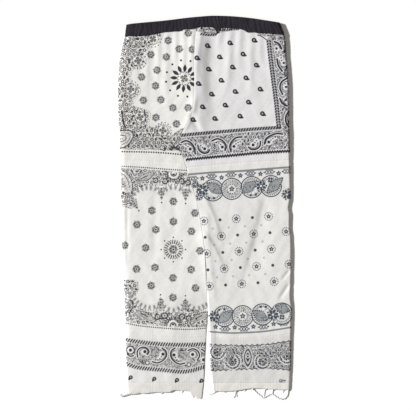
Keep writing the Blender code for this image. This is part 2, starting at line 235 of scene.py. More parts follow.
def fold_height(fold, x, y):
    """How far one fold lifts the cloth at each place."""
    run_x, run_y = fold.x1 - fold.x0, fold.y1 - fold.y0
    length = math.hypot(run_x, run_y)
    along = ((x - fold.x0) * run_x + (y - fold.y0) * run_y) / length**2
    aside = ((x - fold.x0) * run_y - (y - fold.y0) * run_x) / length
    if run_y < 0:
        aside = -aside
    aside = aside - fold.bow * np.sin(math.pi * np.clip(along, 0, 1))
    width = np.where(aside < 0, fold.left, fold.right)
    fade = smooth_step(-0.12, 0.12, along) * (1 - smooth_step(0.55, 1.1, along))
    return fold.height * fade * np.exp(-((aside / width) ** 2))


def back_height(x, y):
    """The height of the upper layer's outer face over the surface."""
    from_left, from_right = x - side_left(y), side_right(y) - x
    from_legs = np.abs(x - centre_line(y)) - np.maximum(leg_gap(y), 0)
    parted = smooth_step(LEGS_PART_FROM, -LEG_SPLIT_Y, -y)
    left_leg = x < centre_line(y)
    ramp = np.where(left_leg, np.clip(from_legs / LEFT_LEG_THINS, 0, 1), 1.0)
    between_legs = pillow(from_legs, LEG_ROUNDING) * (LEFT_LEG_THINNEST + (1 - LEFT_LEG_THINNEST) * ramp)
    between_legs = 1 - parted * (1 - between_legs)
    drop = np.where(left_leg, 1 - ramp, 1 - pillow(from_legs, LEG_EDGE_REACH))
    thinned = LEG_EDGE_DROP * parted * drop
    body = HEM_LOFT + (LOFT - HEM_LOFT) * smooth_step(HEM_LINE_Y, LEG_SPLIT_Y, y)
    below_band = np.maximum(band_bottom(x) - y, 0)
    body = body + WAIST_RISE * np.exp(-below_band / WAIST_RISE_REACH)
    folds = sum(fold_height(fold, x, y) for fold in PUCKERS + CREASES)
    low, high = RIGHT_ROUNDING
    rounding = low + (high - low) * smooth_step(-60, 200, y)
    edge = pillow(from_left, SIDE_ROUNDING) * pillow(from_right, rounding) * between_legs
    rise = RIGHT_RISE * np.exp(-np.maximum(from_right, 0) / RIGHT_RISE_REACH)
    body = body + rise * smooth_step(40, 260, y)
    over_band = BAND_LIFT * (1 - smooth_step(BAND_LIFT_FULL, BAND_LIFT_GONE, below_band))
    raised = np.maximum(over_band, (body + np.maximum(folds, -0.8 * body)) * edge)
    return EDGE_HEIGHT + raised - thinned


# A panel lies between two edges that give x for a y and two that give y for an x.
Outline = namedtuple("Outline", "left right bottom top")


def place_in(outline, across, up):
    """The points at the shares `across` from left to right and `up` from bottom to top."""
    x = np.zeros_like(across)
    for _ in range(7):
        y = outline.bottom(x) * (1 - up) + outline.top(x) * up
        x = outline.left(y) * (1 - across) + outline.right(y) * across
    return x, y


def grid_mesh(name, x, y, z, attributes):
    """A sheet through rows of points, with its flat lay as UVs and the named values at points."""
    rows, columns = x.shape
    points = np.stack([x, y, z], axis=-1).reshape(-1, 3) * MM
    corner = (np.arange(rows - 1)[:, None] * columns + np.arange(columns - 1)[None, :]).ravel()
    faces = np.stack([corner, corner + 1, corner + columns + 1, corner + columns], axis=1)
    mesh = bpy.data.meshes.new(name)
    mesh.vertices.add(len(points))
    mesh.vertices.foreach_set("co", points.astype(np.float32).ravel())
    mesh.loops.add(faces.size)
    mesh.loops.foreach_set("vertex_index", faces.astype(np.int32).ravel())
    mesh.polygons.add(len(faces))
    mesh.polygons.foreach_set("loop_start", np.arange(0, faces.size, 4, dtype=np.int32))
    mesh.update(calc_edges=True)
    mesh.shade_smooth()
    lay = mesh.uv_layers.new(name="OFBake")
    u = (np.arange(columns) / (columns - 1) * 0.98 + 0.01)[None, :] + np.zeros((rows, 1))
    v = (np.arange(rows) / (rows - 1) * 0.98 + 0.01)[:, None] + np.zeros((1, columns))
    flat = np.stack([u, v], axis=-1).reshape(-1, 2)
    lay.data.foreach_set("uv", flat[faces.ravel()].astype(np.float32).ravel())
    for key, value in attributes.items():
        layer = mesh.attributes.new(key, "FLOAT", "POINT")
        layer.data.foreach_set("value", value.astype(np.float32).ravel())
    return mesh


def add_piece(name, mesh, material, nodes):
    """Puts a piece in the scene in place of its CAD nodes."""
    piece = bpy.data.objects.new(name, mesh)
    bpy.context.scene.collection.objects.link(piece)
    mesh.materials.append(material)
    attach(piece, "root")
    if nodes:
        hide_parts(*nodes)
    return piece


def shares(length, step):
    count = max(2, round(length / step))
    return np.linspace(0, 1, count + 1)


def rolled_to_floor(x, y, z, rolled_left, rolled_right):
    """The sheet with the sides that are folds carried on down to the lower layer."""
    turn = np.linspace(0, 1, ROLL_STEPS + 1)[1:]
    out = ROLL_BULGE * np.sin(math.pi * turn)
    drop = 1 - np.cos(math.pi * turn)
    if rolled_left:
        edge_x, edge_y, edge_z = x[:, :1], y[:, :1], z[:, :1]
        fall = (edge_z - FLOOR_LAYER_Z) * drop / 2
        x = np.hstack([(edge_x - out)[:, ::-1], x])
        y = np.hstack([np.repeat(edge_y, ROLL_STEPS, 1), y])
        z = np.hstack([(edge_z - fall)[:, ::-1], z])
    if rolled_right:
        edge_x, edge_y, edge_z = x[:, -1:], y[:, -1:], z[:, -1:]
        fall = (edge_z - FLOOR_LAYER_Z) * drop / 2
        x = np.hstack([x, edge_x + out])
        y = np.hstack([y, np.repeat(edge_y, ROLL_STEPS, 1)])
        z = np.hstack([z, edge_z - fall])
    return x, y, z


def back_sheet(outline, size, rolled_left, rolled_right):
    """Rows of points of a panel in the upper layer, rolled down at the sides that are folds."""
    across, up = np.meshgrid(shares(size[0], SHOWN_STEP), shares(size[1], SHOWN_STEP))
    x, y = place_in(outline, across, up)
    z = shell_height(outline, x, y)
    return rolled_to_floor(x, y, z, rolled_left, rolled_right)


# Prints begin.
# How soft the edge of a printed line is, in millimetres.
PRINT_SOFTNESS = 1.4


def route(points, pitch):
    """Places one pitch apart along a line through the points: x, y and the line's direction."""
    lengths = [0.0]
    for (x0, y0), (x1, y1) in zip(points, points[1:]):
        lengths.append(lengths[-1] + math.hypot(x1 - x0, y1 - y0))
    along_x = SmoothCurve([(at, p[0]) for at, p in zip(lengths, points)])
    along_y = SmoothCurve([(at, p[1]) for at, p in zip(lengths, points)])
    at = np.arange(pitch / 2, lengths[-1], pitch)
    x, y = along_x(at), along_y(at)
    turn = np.arctan2(along_y(at + 0.5) - along_y(at - 0.5), along_x(at + 0.5) - along_x(at - 0.5))
    return list(zip(x, y, np.degrees(turn)))


def arc_points(x, y, radius, begin, sweep, count=9):
    """Points on an arc, with angles in degrees anticlockwise from +X."""
    angles = [math.radians(begin + sweep * i / (count - 1)) for i in range(count)]
    return [(x + radius * math.cos(a), y + radius * math.sin(a)) for a in angles]


def scatter(cell_x, cell_y, seed):
    """An even scatter of numbers from 0 to 1, always the same for the same cells."""
    value = np.sin(cell_x * 127.1 + cell_y * 311.7 + seed * 74.7) * 43758.5453
    return value - np.floor(value)


class Print:
    """The ink on the points of one panel: 0 is bare cloth and 1 is full ink."""

    def __init__(self, x, y):
        self.shape = x.shape
        self.x, self.y = x.ravel(), y.ravel()
        self.ink = np.zeros(self.x.size)
        self.order = np.argsort(self.y)
        self.sorted_y = self.y[self.order]

    def near(self, x, y, reach):
        """The points in a square about a place."""
        low, high = np.searchsorted(self.sorted_y, (y - reach, y + reach))
        row = self.order[low:high]
        return row[np.abs(self.x[row] - x) < reach]

    def lay(self, where, distance, tone=1.0):
        """Ink wherever the distance is below 0."""
        cover = np.clip(0.5 - distance / PRINT_SOFTNESS, 0, 1) * tone
        self.ink[where] = np.maximum(self.ink[where], cover)

    def wash(self, where, distance, left=0.0):
        """Takes the ink away wherever the distance is below 0."""
        cover = np.clip(0.5 - distance / PRINT_SOFTNESS, 0, 1) * (1 - left)
        self.ink[where] = self.ink[where] * (1 - cover)

    def dot(self, x, y, radius, tone=1.0):
        where = self.near(x, y, radius + 2)
        self.lay(where, np.hypot(self.x[where] - x, self.y[where] - y) - radius, tone)

    def hole(self, x, y, radius, left=0.0):
        where = self.near(x, y, radius + 2)
        self.wash(where, np.hypot(self.x[where] - x, self.y[where] - y) - radius, left)

    def ring(self, x, y, radius, width, tone=1.0):
        where = self.near(x, y, radius + width + 2)
        off = np.abs(np.hypot(self.x[where] - x, self.y[where] - y) - radius)
        self.lay(where, off - width / 2, tone)

    def beads(self, x, y, radius, count, size, tone=1.0, turn=0.0):
        """Dots on a circle."""
        for k in range(count):
            angle = math.radians(turn + 360 * k / count)
            self.dot(x + radius * math.cos(angle), y + radius * math.sin(angle), size, tone)

    def turned(self, x, y, angle, reach):
        """The points near a place, measured along and across a direction."""
        where = self.near(x, y, reach)
        c, s = math.cos(math.radians(angle)), math.sin(math.radians(angle))
        dx, dy = self.x[where] - x, self.y[where] - y
        return where, dx * c + dy * s, dy * c - dx * s

    def bar(self, x, y, angle, length, width, tone=1.0):
        """A short stroke with round ends, centred on the place."""
        where, u, v = self.turned(x, y, angle, length / 2 + width + 2)
        past = np.maximum(np.abs(u) - max(length - width, 0) / 2, 0)
        self.lay(where, np.hypot(past, v) - width / 2, tone)

    def petal(self, x, y, angle, start, end, width, tone=1.0):
        """A pointed leaf that runs from start to end along its direction."""
        where, u, v = self.turned(x, y, angle, end + 3)
        share = np.clip((u - start) / (end - start), 0, 1)
        half = width / 2 * (1 - np.abs(2 * share - 1) ** 1.6)
        past = np.maximum(start - u, u - end)
        self.lay(where, np.maximum(np.abs(v) - half, past), tone)

    def drop(self, x, y, size, angle, flip=1, tone=1.0, washed=False):
        """A paisley drop: round at the place, with a tail along the angle that hooks sideways."""
        where, u, v = self.turned(x, y, angle, size * 2.4 + 2)
        v = v * flip
        off = np.hypot(u, v) - size
        for k in range(1, 8):
            share = k / 7
            at_u, at_v = size * 1.75 * share, size * 0.75 * share**2
            off = np.minimum(off, np.hypot(u - at_u, v - at_v) - size * (1 - share) ** 0.8)
        if washed:
            self.wash(where, off)
        else:
            self.lay(where, off, tone)

    def line(self, points, width, tone=1.0, washed=False):
        """A stroke through points."""
        for (x0, y0), (x1, y1) in zip(points, points[1:]):
            length = math.hypot(x1 - x0, y1 - y0)
            angle = math.degrees(math.atan2(y1 - y0, x1 - x0))
            middle = ((x0 + x1) / 2, (y0 + y1) / 2)
            where, u, v = self.turned(*middle, angle, length / 2 + width + 2)
            past = np.maximum(np.abs(u) - length / 2, 0)
            off = np.hypot(past, v) - width / 2
            if washed:
                self.wash(where, off)
            else:
                self.lay(where, off, tone)

    def curve(self, points, width, tone=1.0, washed=False):
        """A smooth stroke through points."""
        self.line([p[:2] for p in route(points, 2.5)], width, tone, washed)

    def arc(self, x, y, radius, begin, sweep, width, tone=1.0):
        self.line(arc_points(x, y, radius, begin, sweep), width, tone)

    def strokes(self, points, pitch, slant, length, width, tone=1.0, aside=0.0):
        """Short strokes in step along a line, at a slant to it."""
        for x, y, turn in route(points, pitch):
            square = math.radians(turn + 90)
            at_x, at_y = x + aside * math.cos(square), y + aside * math.sin(square)
            self.bar(at_x, at_y, turn + slant, length, width, tone)

    def filigree(self, inside, pitch, seed, tone=1.0):
        """Fills a region with small curls, rings, leaves and dots, as fine prints have."""
        where = np.flatnonzero(inside < PRINT_SOFTNESS)
        x, y = self.x[where], self.y[where]
        off = np.full(len(where), 9.0)
        for step_x in (-1, 0, 1):
            for step_y in (-1, 0, 1):
                cell_x, cell_y = np.floor(x / pitch) + step_x, np.floor(y / pitch) + step_y
                kind = scatter(cell_x, cell_y, seed)
                at_x = (cell_x + 0.25 + 0.5 * scatter(cell_x, cell_y, seed + 1)) * pitch
                at_y = (cell_y + 0.25 + 0.5 * scatter(cell_x, cell_y, seed + 2)) * pitch
                turn = 2 * math.pi * scatter(cell_x, cell_y, seed + 3)
                away = np.hypot(x - at_x, y - at_y)
                bearing = np.arctan2(y - at_y, x - at_x) - turn
                along, aside = away * np.cos(bearing), np.abs(away * np.sin(bearing))
                ring = np.abs(away - pitch * 0.36) - pitch * 0.12
                curl = np.where(np.cos(bearing) > -0.4, np.abs(away - pitch * 0.42) - pitch * 0.13, 9)
                bead = away - pitch * 0.31
                leaf = aside - pitch * 0.24 * (1 - (along / pitch / 0.62) ** 2)
                shape = np.select([kind < 0.2, kind < 0.5, kind < 0.72], [ring, curl, bead], leaf)
                off = np.minimum(off, shape)
        cover = np.clip(0.5 - off / PRINT_SOFTNESS, 0, 1)
        patch = 0.5 + 0.5 * np.sin(x / 5.1 + 2 * np.sin(y / 8.3)) * np.sin(y / 4.7 + 2 * np.sin(x / 9.1))
        cover = cover * np.clip(0.5 - inside[where] / PRINT_SOFTNESS, 0, 1) * tone * (0.45 + 0.55 * patch)
        self.ink[where] = np.maximum(self.ink[where], cover)

    def tint(self, inside, tone):
        """An even light tone over a region."""
        where = np.flatnonzero(inside < PRINT_SOFTNESS)
        self.lay(where, inside[where], tone)

    def circle(self, x, y, radius):
        return np.hypot(self.x - x, self.y - y) - radius

    def polygon(self, points):
        """The distance into a closed outline: below 0 inside it."""
        nearest = np.full(self.x.size, 1e9)
        inside = np.zeros(self.x.size, bool)
        for (x0, y0), (x1, y1) in zip(points, points[1:] + points[:1]):
            run_x, run_y = x1 - x0, y1 - y0
            share = ((self.x - x0) * run_x + (self.y - y0) * run_y) / (run_x**2 + run_y**2)
            share = np.clip(share, 0, 1)
            off = np.hypot(self.x - x0 - share * run_x, self.y - y0 - share * run_y)
            nearest = np.minimum(nearest, off)
            if y0 != y1:
                crossing = x0 + (self.y - y0) * run_x / run_y
                inside ^= ((y0 > self.y) != (y1 > self.y)) & (self.x < crossing)
        return np.where(inside, -nearest, nearest)

    def edge(self, inside, width, tone=1.0):
        """A line along the edge of a region."""
        where = np.flatnonzero(np.abs(inside) < width + 2)
        self.lay(where, np.abs(inside[where]) - width / 2, tone)

    def scroll(self, arc, seed, spine, seed_size=4.2, width=4.6, ground=0.15):
        """A paisley: a thick curve that hooks round a seed, with a dotted spine and a fine border."""
        middle = seed
        inner = [(x + 0.3 * (middle[0] - x), y + 0.3 * (middle[1] - y)) for x, y in arc]
        outer = [(x + 6.4 * (x - middle[0]) / math.hypot(x - middle[0], y - middle[1]),
                  y + 6.4 * (y - middle[1]) / math.hypot(x - middle[0], y - middle[1]))
                 for x, y in arc]
        self.hole(*seed, 9, ground)
        for place in spine:
            self.hole(*place, 5.6, ground)
        self.curve(arc, width + 5.5, washed=True)
        self.curve(arc, width, 1.0)
        self.curve(inner, 2.2, 0.8)
        self.strokes(outer, 4.4, 0, 2.8, 2.2, 0.9)
        self.dot(*seed, seed_size)
        for place in spine:
            self.dot(*place, 2)

    def leaf(self, x0, y0, x1, y1, width):
        """The distance into a broad leaf between two points."""
        length = math.hypot(x1 - x0, y1 - y0)
        c, s = (x1 - x0) / length, (y1 - y0) / length
        u = (self.x - x0) * c + (self.y - y0) * s
        v = (self.y - y0) * c - (self.x - x0) * s
        share = np.clip(u / length, 0, 1)
        half = width / 2 * np.sin(math.pi * share) ** 0.7
        return np.maximum(np.abs(v) - half, np.maximum(-u, u - length))


def around(x, y, radius, angle):
    a = math.radians(angle)
    return x + radius * math.cos(a), y + radius * math.sin(a)


def rosette(p, x, y, size, turn=0.0, tone=1.0, lobes=4):
    """A small round flower: mottled lobes with two dark veins each, and a dark heart."""
    for k in range(lobes):
        angle = turn + 360 * k / lobes
        p.dot(*around(x, y, size * 0.6, angle), size * min(0.4, 1.9 / lobes), tone * 0.62)
        for side in (-1, 1):
            p.bar(*around(x, y, size * 0.66, angle + 24 * side), angle + 16 * side, size * 0.52, size * 0.23, tone)
        p.dot(*around(x, y, size * 0.98, angle), size * 0.11, tone * 0.8)
        p.hole(*around(x, y, size * 0.66, angle + 180 / lobes), size * 0.13, 0.1)
        p.hole(*around(x, y, size * 1.08, angle + 180 / lobes), size * 0.24)
    p.dot(x, y, size * 0.22, tone * 0.9)


def curl(p, x, y, size, turn, tone=1.0):
    """A thick open ring about a dot."""
    p.hole(x, y, size * 1.15, 0.15)
    p.arc(x, y, size * 0.78, turn, 285, size * 0.36, tone)
    p.dot(x, y, size * 0.3, tone)


def sprig(p, x, y, size, turn, tone=1.0):
    """Three leaves from one stem."""
    p.hole(x, y, size * 0.95, 0.25)
    base = around(x, y, -size * 0.8, turn)
    for side in (-1, 0, 1):
        p.petal(*base, turn + 34 * side, size * 0.2, size * 1.75, size * 0.55, tone)


def blossom(p, x, y, size, turn, tone=1.0):
    """Five round petals about a light heart."""
    p.hole(x, y, size * 1.1, 0.2)
    for k in range(5):
        p.dot(*around(x, y, size * 0.62, turn + 72 * k), size * 0.34, tone)
    p.hole(x, y, size * 0.24)


def drop_outline(p, x, y, size, turn, tone=1.0):
    p.hole(x, y, size * 1.1, 0.2)
    p.drop(x, y, size * 0.8, turn, 1, tone)
    p.hole(x, y, size * 0.44, 0.05)
    p.dot(x, y, size * 0.18, tone)


ORNAMENTS = (curl, sprig, blossom, drop_outline, curl, sprig)


def ornaments(p, inside, pitch, seed, tone=1.0, lean=0.0):
    """Small ornaments in staggered rows over a region, each on a lighter ground."""
    columns = range(int(p.x.min() / pitch) - 1, int(p.x.max() / pitch) + 2)
    rows = range(int(p.y.min() / pitch / 0.86) - 1, int(p.y.max() / pitch / 0.86) + 2)
    for row in rows:
        for column in columns:
            chance = [float(scatter(column, row, seed + k)) for k in range(4)]
            x = (column + 0.5 * (row % 2) + 0.3 * (chance[0] - 0.5)) * pitch
            y = (row * 0.86 + 0.3 * (chance[1] - 0.5)) * pitch + lean * x
            where = p.near(x, y, 2.0)
            if len(where) and inside[where].max() < -pitch * 0.18:
                draw = ORNAMENTS[int(chance[2] * len(ORNAMENTS))]
                draw(p, x, y, pitch * 0.47, 360 * chance[3], tone)


def rope(p, points, pitch, width, tone=1.0, slant=58):
    """Leaning strokes in a row."""
    p.strokes(points, pitch, slant, width * 1.1, pitch * 0.52, tone)


def chevrons(p, points, pitch, width, tone=1.0):
    """Two rows of strokes that lean towards each other."""
    p.strokes(points, pitch, 38, width * 0.54, pitch * 0.54, tone, width * 0.27)
    p.strokes(points, pitch, -38, width * 0.54, pitch * 0.54, tone, -width * 0.27)


def star(p, x, y, size, turn=90.0, tone=0.9):
    """A five-lobed star."""
    for k in range(5):
        p.petal(x, y, turn + 72 * k, 0, size, size * 0.62, tone)
        p.dot(*around(x, y, size * 0.55, turn + 72 * k), size * 0.25, tone)
    p.hole(x, y, size * 0.16, 0.3)


def eyed_drop(p, x, y, size, angle, flip=1):
    """A dark drop with a light eye and a seed in it."""
    p.drop(x, y, size, angle, flip)
    p.hole(x, y, size * 0.42, 0.3)
    p.dot(x + size * 0.1, y, size * 0.2, 0.8)


# Upper left print.
SUN_MIDDLE = (-58.5, 361.8)
ROSETTES_UPPER_LEFT = (
    (-103.3, 468.2), (-72.2, 444.4), (-47, 489.2), (-35.8, 443), (-152, 429), (-108.4, 422.2), (-134.7, 385.3),
    (-177.8, 366.2), (-138.9, 341.6), (-173, 301), (-123.8, 302.4), (-90.2, 279.7), (-47.6, 279.7), (-137.5, 252.6),
    (-80.1, 234.9),
)
# The inner edge of the fine border, down the left side and along the bottom.
BORDER_UPPER_LEFT = (
    (-109.5, 525.8), (-117.9, 489.4), (-130.5, 465.1), (-158.5, 450.2), (-169.7, 430.6), (-168.3, 408.2), (-179.5, 391.4), (-202.4, 388.9), (-210.3, 373.2),
    (-208.3, 352.2), (-187.9, 339.6), (-185.6, 321.4), (-204.7, 304.6), (-203.6, 285), (-178.4, 278), (-157.6, 268.2), (-158.5, 245),
    (-158.5, 229), (-141.7, 224.8), (-126.3, 236.3), (-109.5, 231.8), (-99.7, 219.2), (-93.8, 202.7), (-78.7, 215), (-64.7, 222.3),
    (-42.3, 222.3), (-42.3, 157.4), (-92.7, 159), (-154.3, 162.4), (-252.3, 163.5), (-252.3, 525.8),
)
LOBES_UPPER_LEFT = ((-145.9, 472.6), (-188.2, 412.2), (-208.3, 332.6), (-182.3, 253.7), (-118.2, 216.2))


TOP_BORDER = (
    [(-25.5, 525.8), (33.3, 525.8), (37.5, 489.4), (30.5, 479.9), (5.3, 479.9), (-14.3, 489.4), (-28.3, 495)],
    [(36.1, 525.8), (100.5, 525.8), (92.1, 496.7), (64.1, 493.9), (36.1, 488.9)],
    [(114.5, 525.8), (248.9, 509), (248.9, 471.2), (181.7, 473.8), (145.3, 486.6)],
)


def top_border(p):
    """What shows of the right print's upper border below the waistband."""
    for outline in TOP_BORDER:
        region = p.polygon(outline)
        p.tint(region, 0.24)
        p.filigree(region, 6.6, 5, 1.0)
        ornaments(p, region, 9.5, 7, 0.95)
    p.strokes([(-14.3, 486.6), (8.1, 483.8), (33.3, 486.1)], 7.0, 50, 8.4, 3.8)
    p.strokes([(38.9, 497.8), (66.9, 499), (94.9, 501.8)], 6.6, 60, 9, 3.4)
    p.dot(-10.1, 502.3, 3.6)


def print_upper_left(p):
    x, y = SUN_MIDDLE
    for k in range(12):
        angle = 86 - 30 * k
        p.petal(x, y, angle, 16.8, 39.8, 9.8, 1.0)
        p.petal(x, y, angle + 15, 14, 21.3, 3.4, 0.75)
    p.beads(x, y, 51.5, 12, 2.9, 1.0, 100)
    rosette(p, x, y, 11.8, 60, 0.9)
    for i, (rx, ry) in enumerate(ROSETTES_UPPER_LEFT):
        rosette(p, rx, ry, 11.5, 30 + 23 * i, 0.95, 6)
    border = p.polygon(list(BORDER_UPPER_LEFT))
    p.tint(border, 0.10)
    p.filigree(border, 6.4, 3, 1.0)
    ornaments(p, border, 12.5, 4, 0.95)
    low = np.maximum(border, p.y - 201)
    p.tint(low, 0.22)
    for lx, ly in LOBES_UPPER_LEFT:
        p.ring(lx, ly, 15.1, 1.6, 0.6)
        p.hole(lx, ly, 12.3, 0.25)
        rosette(p, lx, ly, 10.6, 20 + lx)
        p.beads(lx, ly, 23, 15, 1.7, 0.85, lx)
    for places in (BORDER_UPPER_LEFT[1:14], BORDER_UPPER_LEFT[13:26]):
        for bx, by, _ in route(list(places), 5.6):
            p.dot(bx + 3.1, by - 0.8, 1.3, 0.75)
    p.wash(np.arange(p.x.size), p.polygon([(-243.9, 215), (-210.3, 217.8), (-199.1, 206.6), (-204.7, 187), (-221.5, 170.2), (-243.9, 164.6)]), 0.5)
    p.curve([(-235.5, 216.2), (-210.3, 216.2), (-200.8, 205), (-206.4, 189), (-221.5, 171.9), (-241.1, 166.3)], 3.2, 0.85)
    p.curve([(-235.5, 210), (-215.3, 208.3), (-209.7, 199.9), (-215.9, 185.9), (-235.5, 175.8)], 2.2, 0.7)
    p.curve([(-238.3, 203.8), (-222.3, 200.5), (-222.6, 191), (-238.3, 184.2)], 2.6, 0.8)
    p.curve([(-232.4, 269.1), (-230.2, 248.9), (-223.7, 223.4)], 3.4, 1.0)
    p.dot(-232.1, 266.6, 3.9)
    p.dot(-190.4, 202.2, 3.9)
    p.dot(-190.1, 472.9, 3.6)
    p.dot(-216.2, 467, 3.4)
    for x, y, turn in route([(-235.5, 157.4), (-138.3, 155.1), (-56.3, 148.4)], 6.8):
        p.dot(x, y, 2.3)
    for k in range(5):
        p.petal(-85.7, 160.4, 25 + 35 * k, 3.4, 16.8, 5.3)
    for k in range(3):
        p.petal(-108.1, 161.8, 120 + 35 * k, 1.4, 11.2, 3.9, 0.85)


# Upper right print: a lattice of drops inside a rope, and a band of paisleys round it.
DROPS_UPPER_RIGHT = (
    (6.2, 454.2), (68.9, 462), (136.9, 469.3), (-23.2, 419.4), (40, 422.8), (105.8, 430.6), (9.2, 388.6),
    (76.4, 394.2), (143.1, 399.8), (-19.3, 347.8), (44.5, 357.3), (114, 364), (17.6, 318.6), (83.7, 325.9), (153.7, 332.6),
    (-7.6, 282.8), (55.7, 287.8), (121.2, 296.2), (-34.4, 247), (26.6, 250.3), (97.2, 257), (160.4, 263.8),
)
ROPE_SIDE = [(177.8, 469.8), (182.8, 422.2), (190.1, 366.2), (198.5, 301.8), (206.9, 223.4)]
ROPE_INNER = [(-67.5, 202.7), (-14.3, 207.8), (69.7, 215), (139.7, 220.6), (212.5, 225.1)]
ROPE_OUTER = [(-53.5, 135), (-0.3, 140), (69.7, 146.2), (153.7, 154), (246.1, 159.6)]
# The paisleys of the band: the thick curve, the seed and the spine of each.
SCROLLS_BAND = (
    ([(-67.5, 182.6), (-53.5, 187.6), (-39.5, 181.4), (-30, 167.4), (-27.7, 150.6)], (-41.7, 164.6), ((-47.9, 171.4), (-53.5, 175.8))),
    ([(-20.4, 176.4), (-17.6, 163), (-5.9, 153.4), (7, 154.6), (12.6, 163)], (-1.4, 165.2),
     ((-7.6, 169.1), (-12, 174.7))),
    ([(18.2, 187), (34.2, 193.2), (49.8, 187), (59.1, 173), (55.2, 158.5)], (48.2, 170.2),
     ((43.7, 177.5), (38.4, 181.4), (32.2, 182.6))),
    ([(104.4, 198.5), (87.1, 196.3), (74.8, 185.4), (69.2, 171.4), (73.1, 156.2)], (80.9, 171.9),
     ((86.5, 178.9), (92.1, 183.1), (98.3, 184.8))),
    ([(154.8, 187), (153.2, 173), (143.1, 164.6), (129.1, 163.5), (121.2, 170.2)], (134.4, 176.1), ((139.7, 182.6), (143.6, 188.2))),
    ([(166, 177.5), (170.5, 193.2), (186.2, 203.3), (202.2, 207.8), (219.2, 206.1)], (178.4, 184.2),
     ((184.5, 189.8), (190.1, 194.3), (196.3, 197.7))),
)
SCROLLS_SIDE = (
    ([(201.3, 418), (205.2, 398.4), (216.4, 381.6)], (220.4, 405.4), ((214.2, 412.2), (212.5, 419.4))),
    ([(230.7, 363.4), (214.2, 352.2), (209.7, 335.4), (217, 317.5)], (226.5, 338.2), ((223.7, 347.2),)),
    ([(208.6, 307.4), (215.3, 293.4), (229.3, 285)], (226.5, 301.8), ()),
    ([(234.9, 271), (226.5, 257), (226.5, 240.2), (233.8, 226.2)], (240.5, 251.4), ()),
    ([(192.9, 465.6), (206.9, 458.6), (213.9, 444.6)], (199.9, 446), ((198.5, 436.2),)),
)


def print_upper_right(p):
    band_low = np.interp(p.x, [-59.1, 240.5], [138, 161.8])
    band_top = np.interp(p.x, [-70.3, 206.9], [202.4, 223.4])
    side = np.interp(p.y, [223.4, 469.8], [211.1, 181.7])
    band = np.minimum(p.y - band_top, side - p.x)
    band = np.maximum(band, band_low - p.y)
    p.tint(band, 0.32)
    p.tint(np.maximum(band, 164.9 - p.x), 0.4)
    p.filigree(band, 6.4, 11, 1.0)
    ornaments(p, band, 11.5, 12, 0.95)
    for dx, dy in DROPS_UPPER_RIGHT:
        eyed_drop(p, dx, dy, 6.6, -47, 1)
    p.curve(ROPE_SIDE, 15.7, washed=True)
    p.curve(ROPE_INNER, 14, washed=True)
    p.curve(ROPE_SIDE, 13.4, 0.42)
    p.curve(ROPE_INNER, 10.6, 0.45)
    chevrons(p, ROPE_SIDE, 7.6, 14)
    rope(p, ROPE_INNER, 7.6, 10.1)
    p.curve(ROPE_OUTER, 12.3, washed=True)
    p.curve(ROPE_OUTER, 4.4, 1.0)
    rope(p, ROPE_OUTER, 7.0, 10.4)
    for arc, seed, spine in SCROLLS_BAND:
        p.scroll(arc, seed, spine)
    for arc, seed, spine in SCROLLS_SIDE:
        p.scroll(arc, seed, spine, 3.4, 5.0, 0.3)
    for middle in ((243.3, 450.2), (243.3, 380.2), (240.5, 290.6), (246.1, 223.4)):
        p.strokes(arc_points(*middle, 20.2, 120, 120, 9), 5.0, 90, 5.3, 3.0, 1.0)
    p.dot(222, 437.4, 3.9)
    p.dot(212.5, 478.2, 4.2)
    p.curve([(145.3, 483.8), (159.3, 479.4), (173.3, 468.7)], 2.6, 0.9)
    top_border(p)


# Middle left print: a medallion among rosettes, inside a scalloped border.
MEDALLION = (-89, -116.8)
ROSETTES_MIDDLE_LEFT = (
    (-88.8, 17.9), (-149.2, -7.6), (-28.3, -14.6), (-88.8, -38.6), (-190.7, -46.8), (-138, -61), (-38.4, -65.8),
    (-166.6, -112), (-14.3, -120.4), (-140.3, -167.4), (-192.1, -171.4), (-38.9, -173), (-89.9, -196.3), (-150.9, -218.1),
    (-26.9, -224.6), (-89.9, -251.2), (-225.4, -105),
)


def scallop(p, points, outward, tone=0.46):
    """A row of broad tabs over a fine line."""
    p.strokes(points, 10.6, 90, 14, 8.8, tone * 0.9, outward * 9)
    p.strokes(points, 10.6, 90, 10.1, 2.4, tone * 1.6, outward * 8.4)
    p.strokes(points, 5.3, 90, 3.9, 2.6, tone * 1.7, outward * 16.8)
    p.strokes(points, 3.7, 90, 2.0, 1.8, tone, outward * 0.6)


def pendant(p, x, y, angle, size, half_width=12.3):
    """A tapering ornament that ends in a dot."""
    outline = [around(*around(x, y, size * at, angle), half_width * share * side, angle + 90)
               for side, marks in ((1, ((0, 1), (0.3, 0.75), (0.6, 0.36), (0.85, 0.12))),
                                   (-1, ((0.85, 0.12), (0.6, 0.36), (0.3, 0.75), (0, 1))))
               for at, share in marks]
    inside = p.polygon(outline)
    p.tint(inside, 0.4)
    for k in range(4):
        at = around(x, y, size * (0.08 + 0.2 * k), angle)
        half = half_width * (0.8 - 0.2 * k)
        p.dot(*at, 2.2, 0.85)
        for side in (-1, 1):
            p.dot(*around(*at, half, angle + 90 * side), 1.7, 0.8)
    p.dot(*around(x, y, size * 1.0, angle), 2.2, 0.95)


def half_round(p, x, y, size, opens):
    """A fan inside rings, as half a flower."""
    p.arc(x, y, size * 1.25, opens, 180, size * 0.42, 0.45)
    p.strokes(arc_points(x, y, size * 1.25, opens, 180, 13), 5.6, 90, size * 0.36, 2.6, 0.9)
    p.line(arc_points(x, y, size * 0.82, opens, 180), size * 0.3, washed=True)
    p.arc(x, y, size * 0.52, opens, 180, size * 0.22, 0.8)
    p.hole(x, y, size * 0.4, 0.2)
    for k in range(3):
        p.petal(x, y, opens + 50 + 40 * k, 0, size * 0.45, size * 0.22, 1.0)
    p.strokes(arc_points(x, y, size * 1.62, opens, 180, 13), 6.4, 90, size * 0.34, 3.2, 0.85)


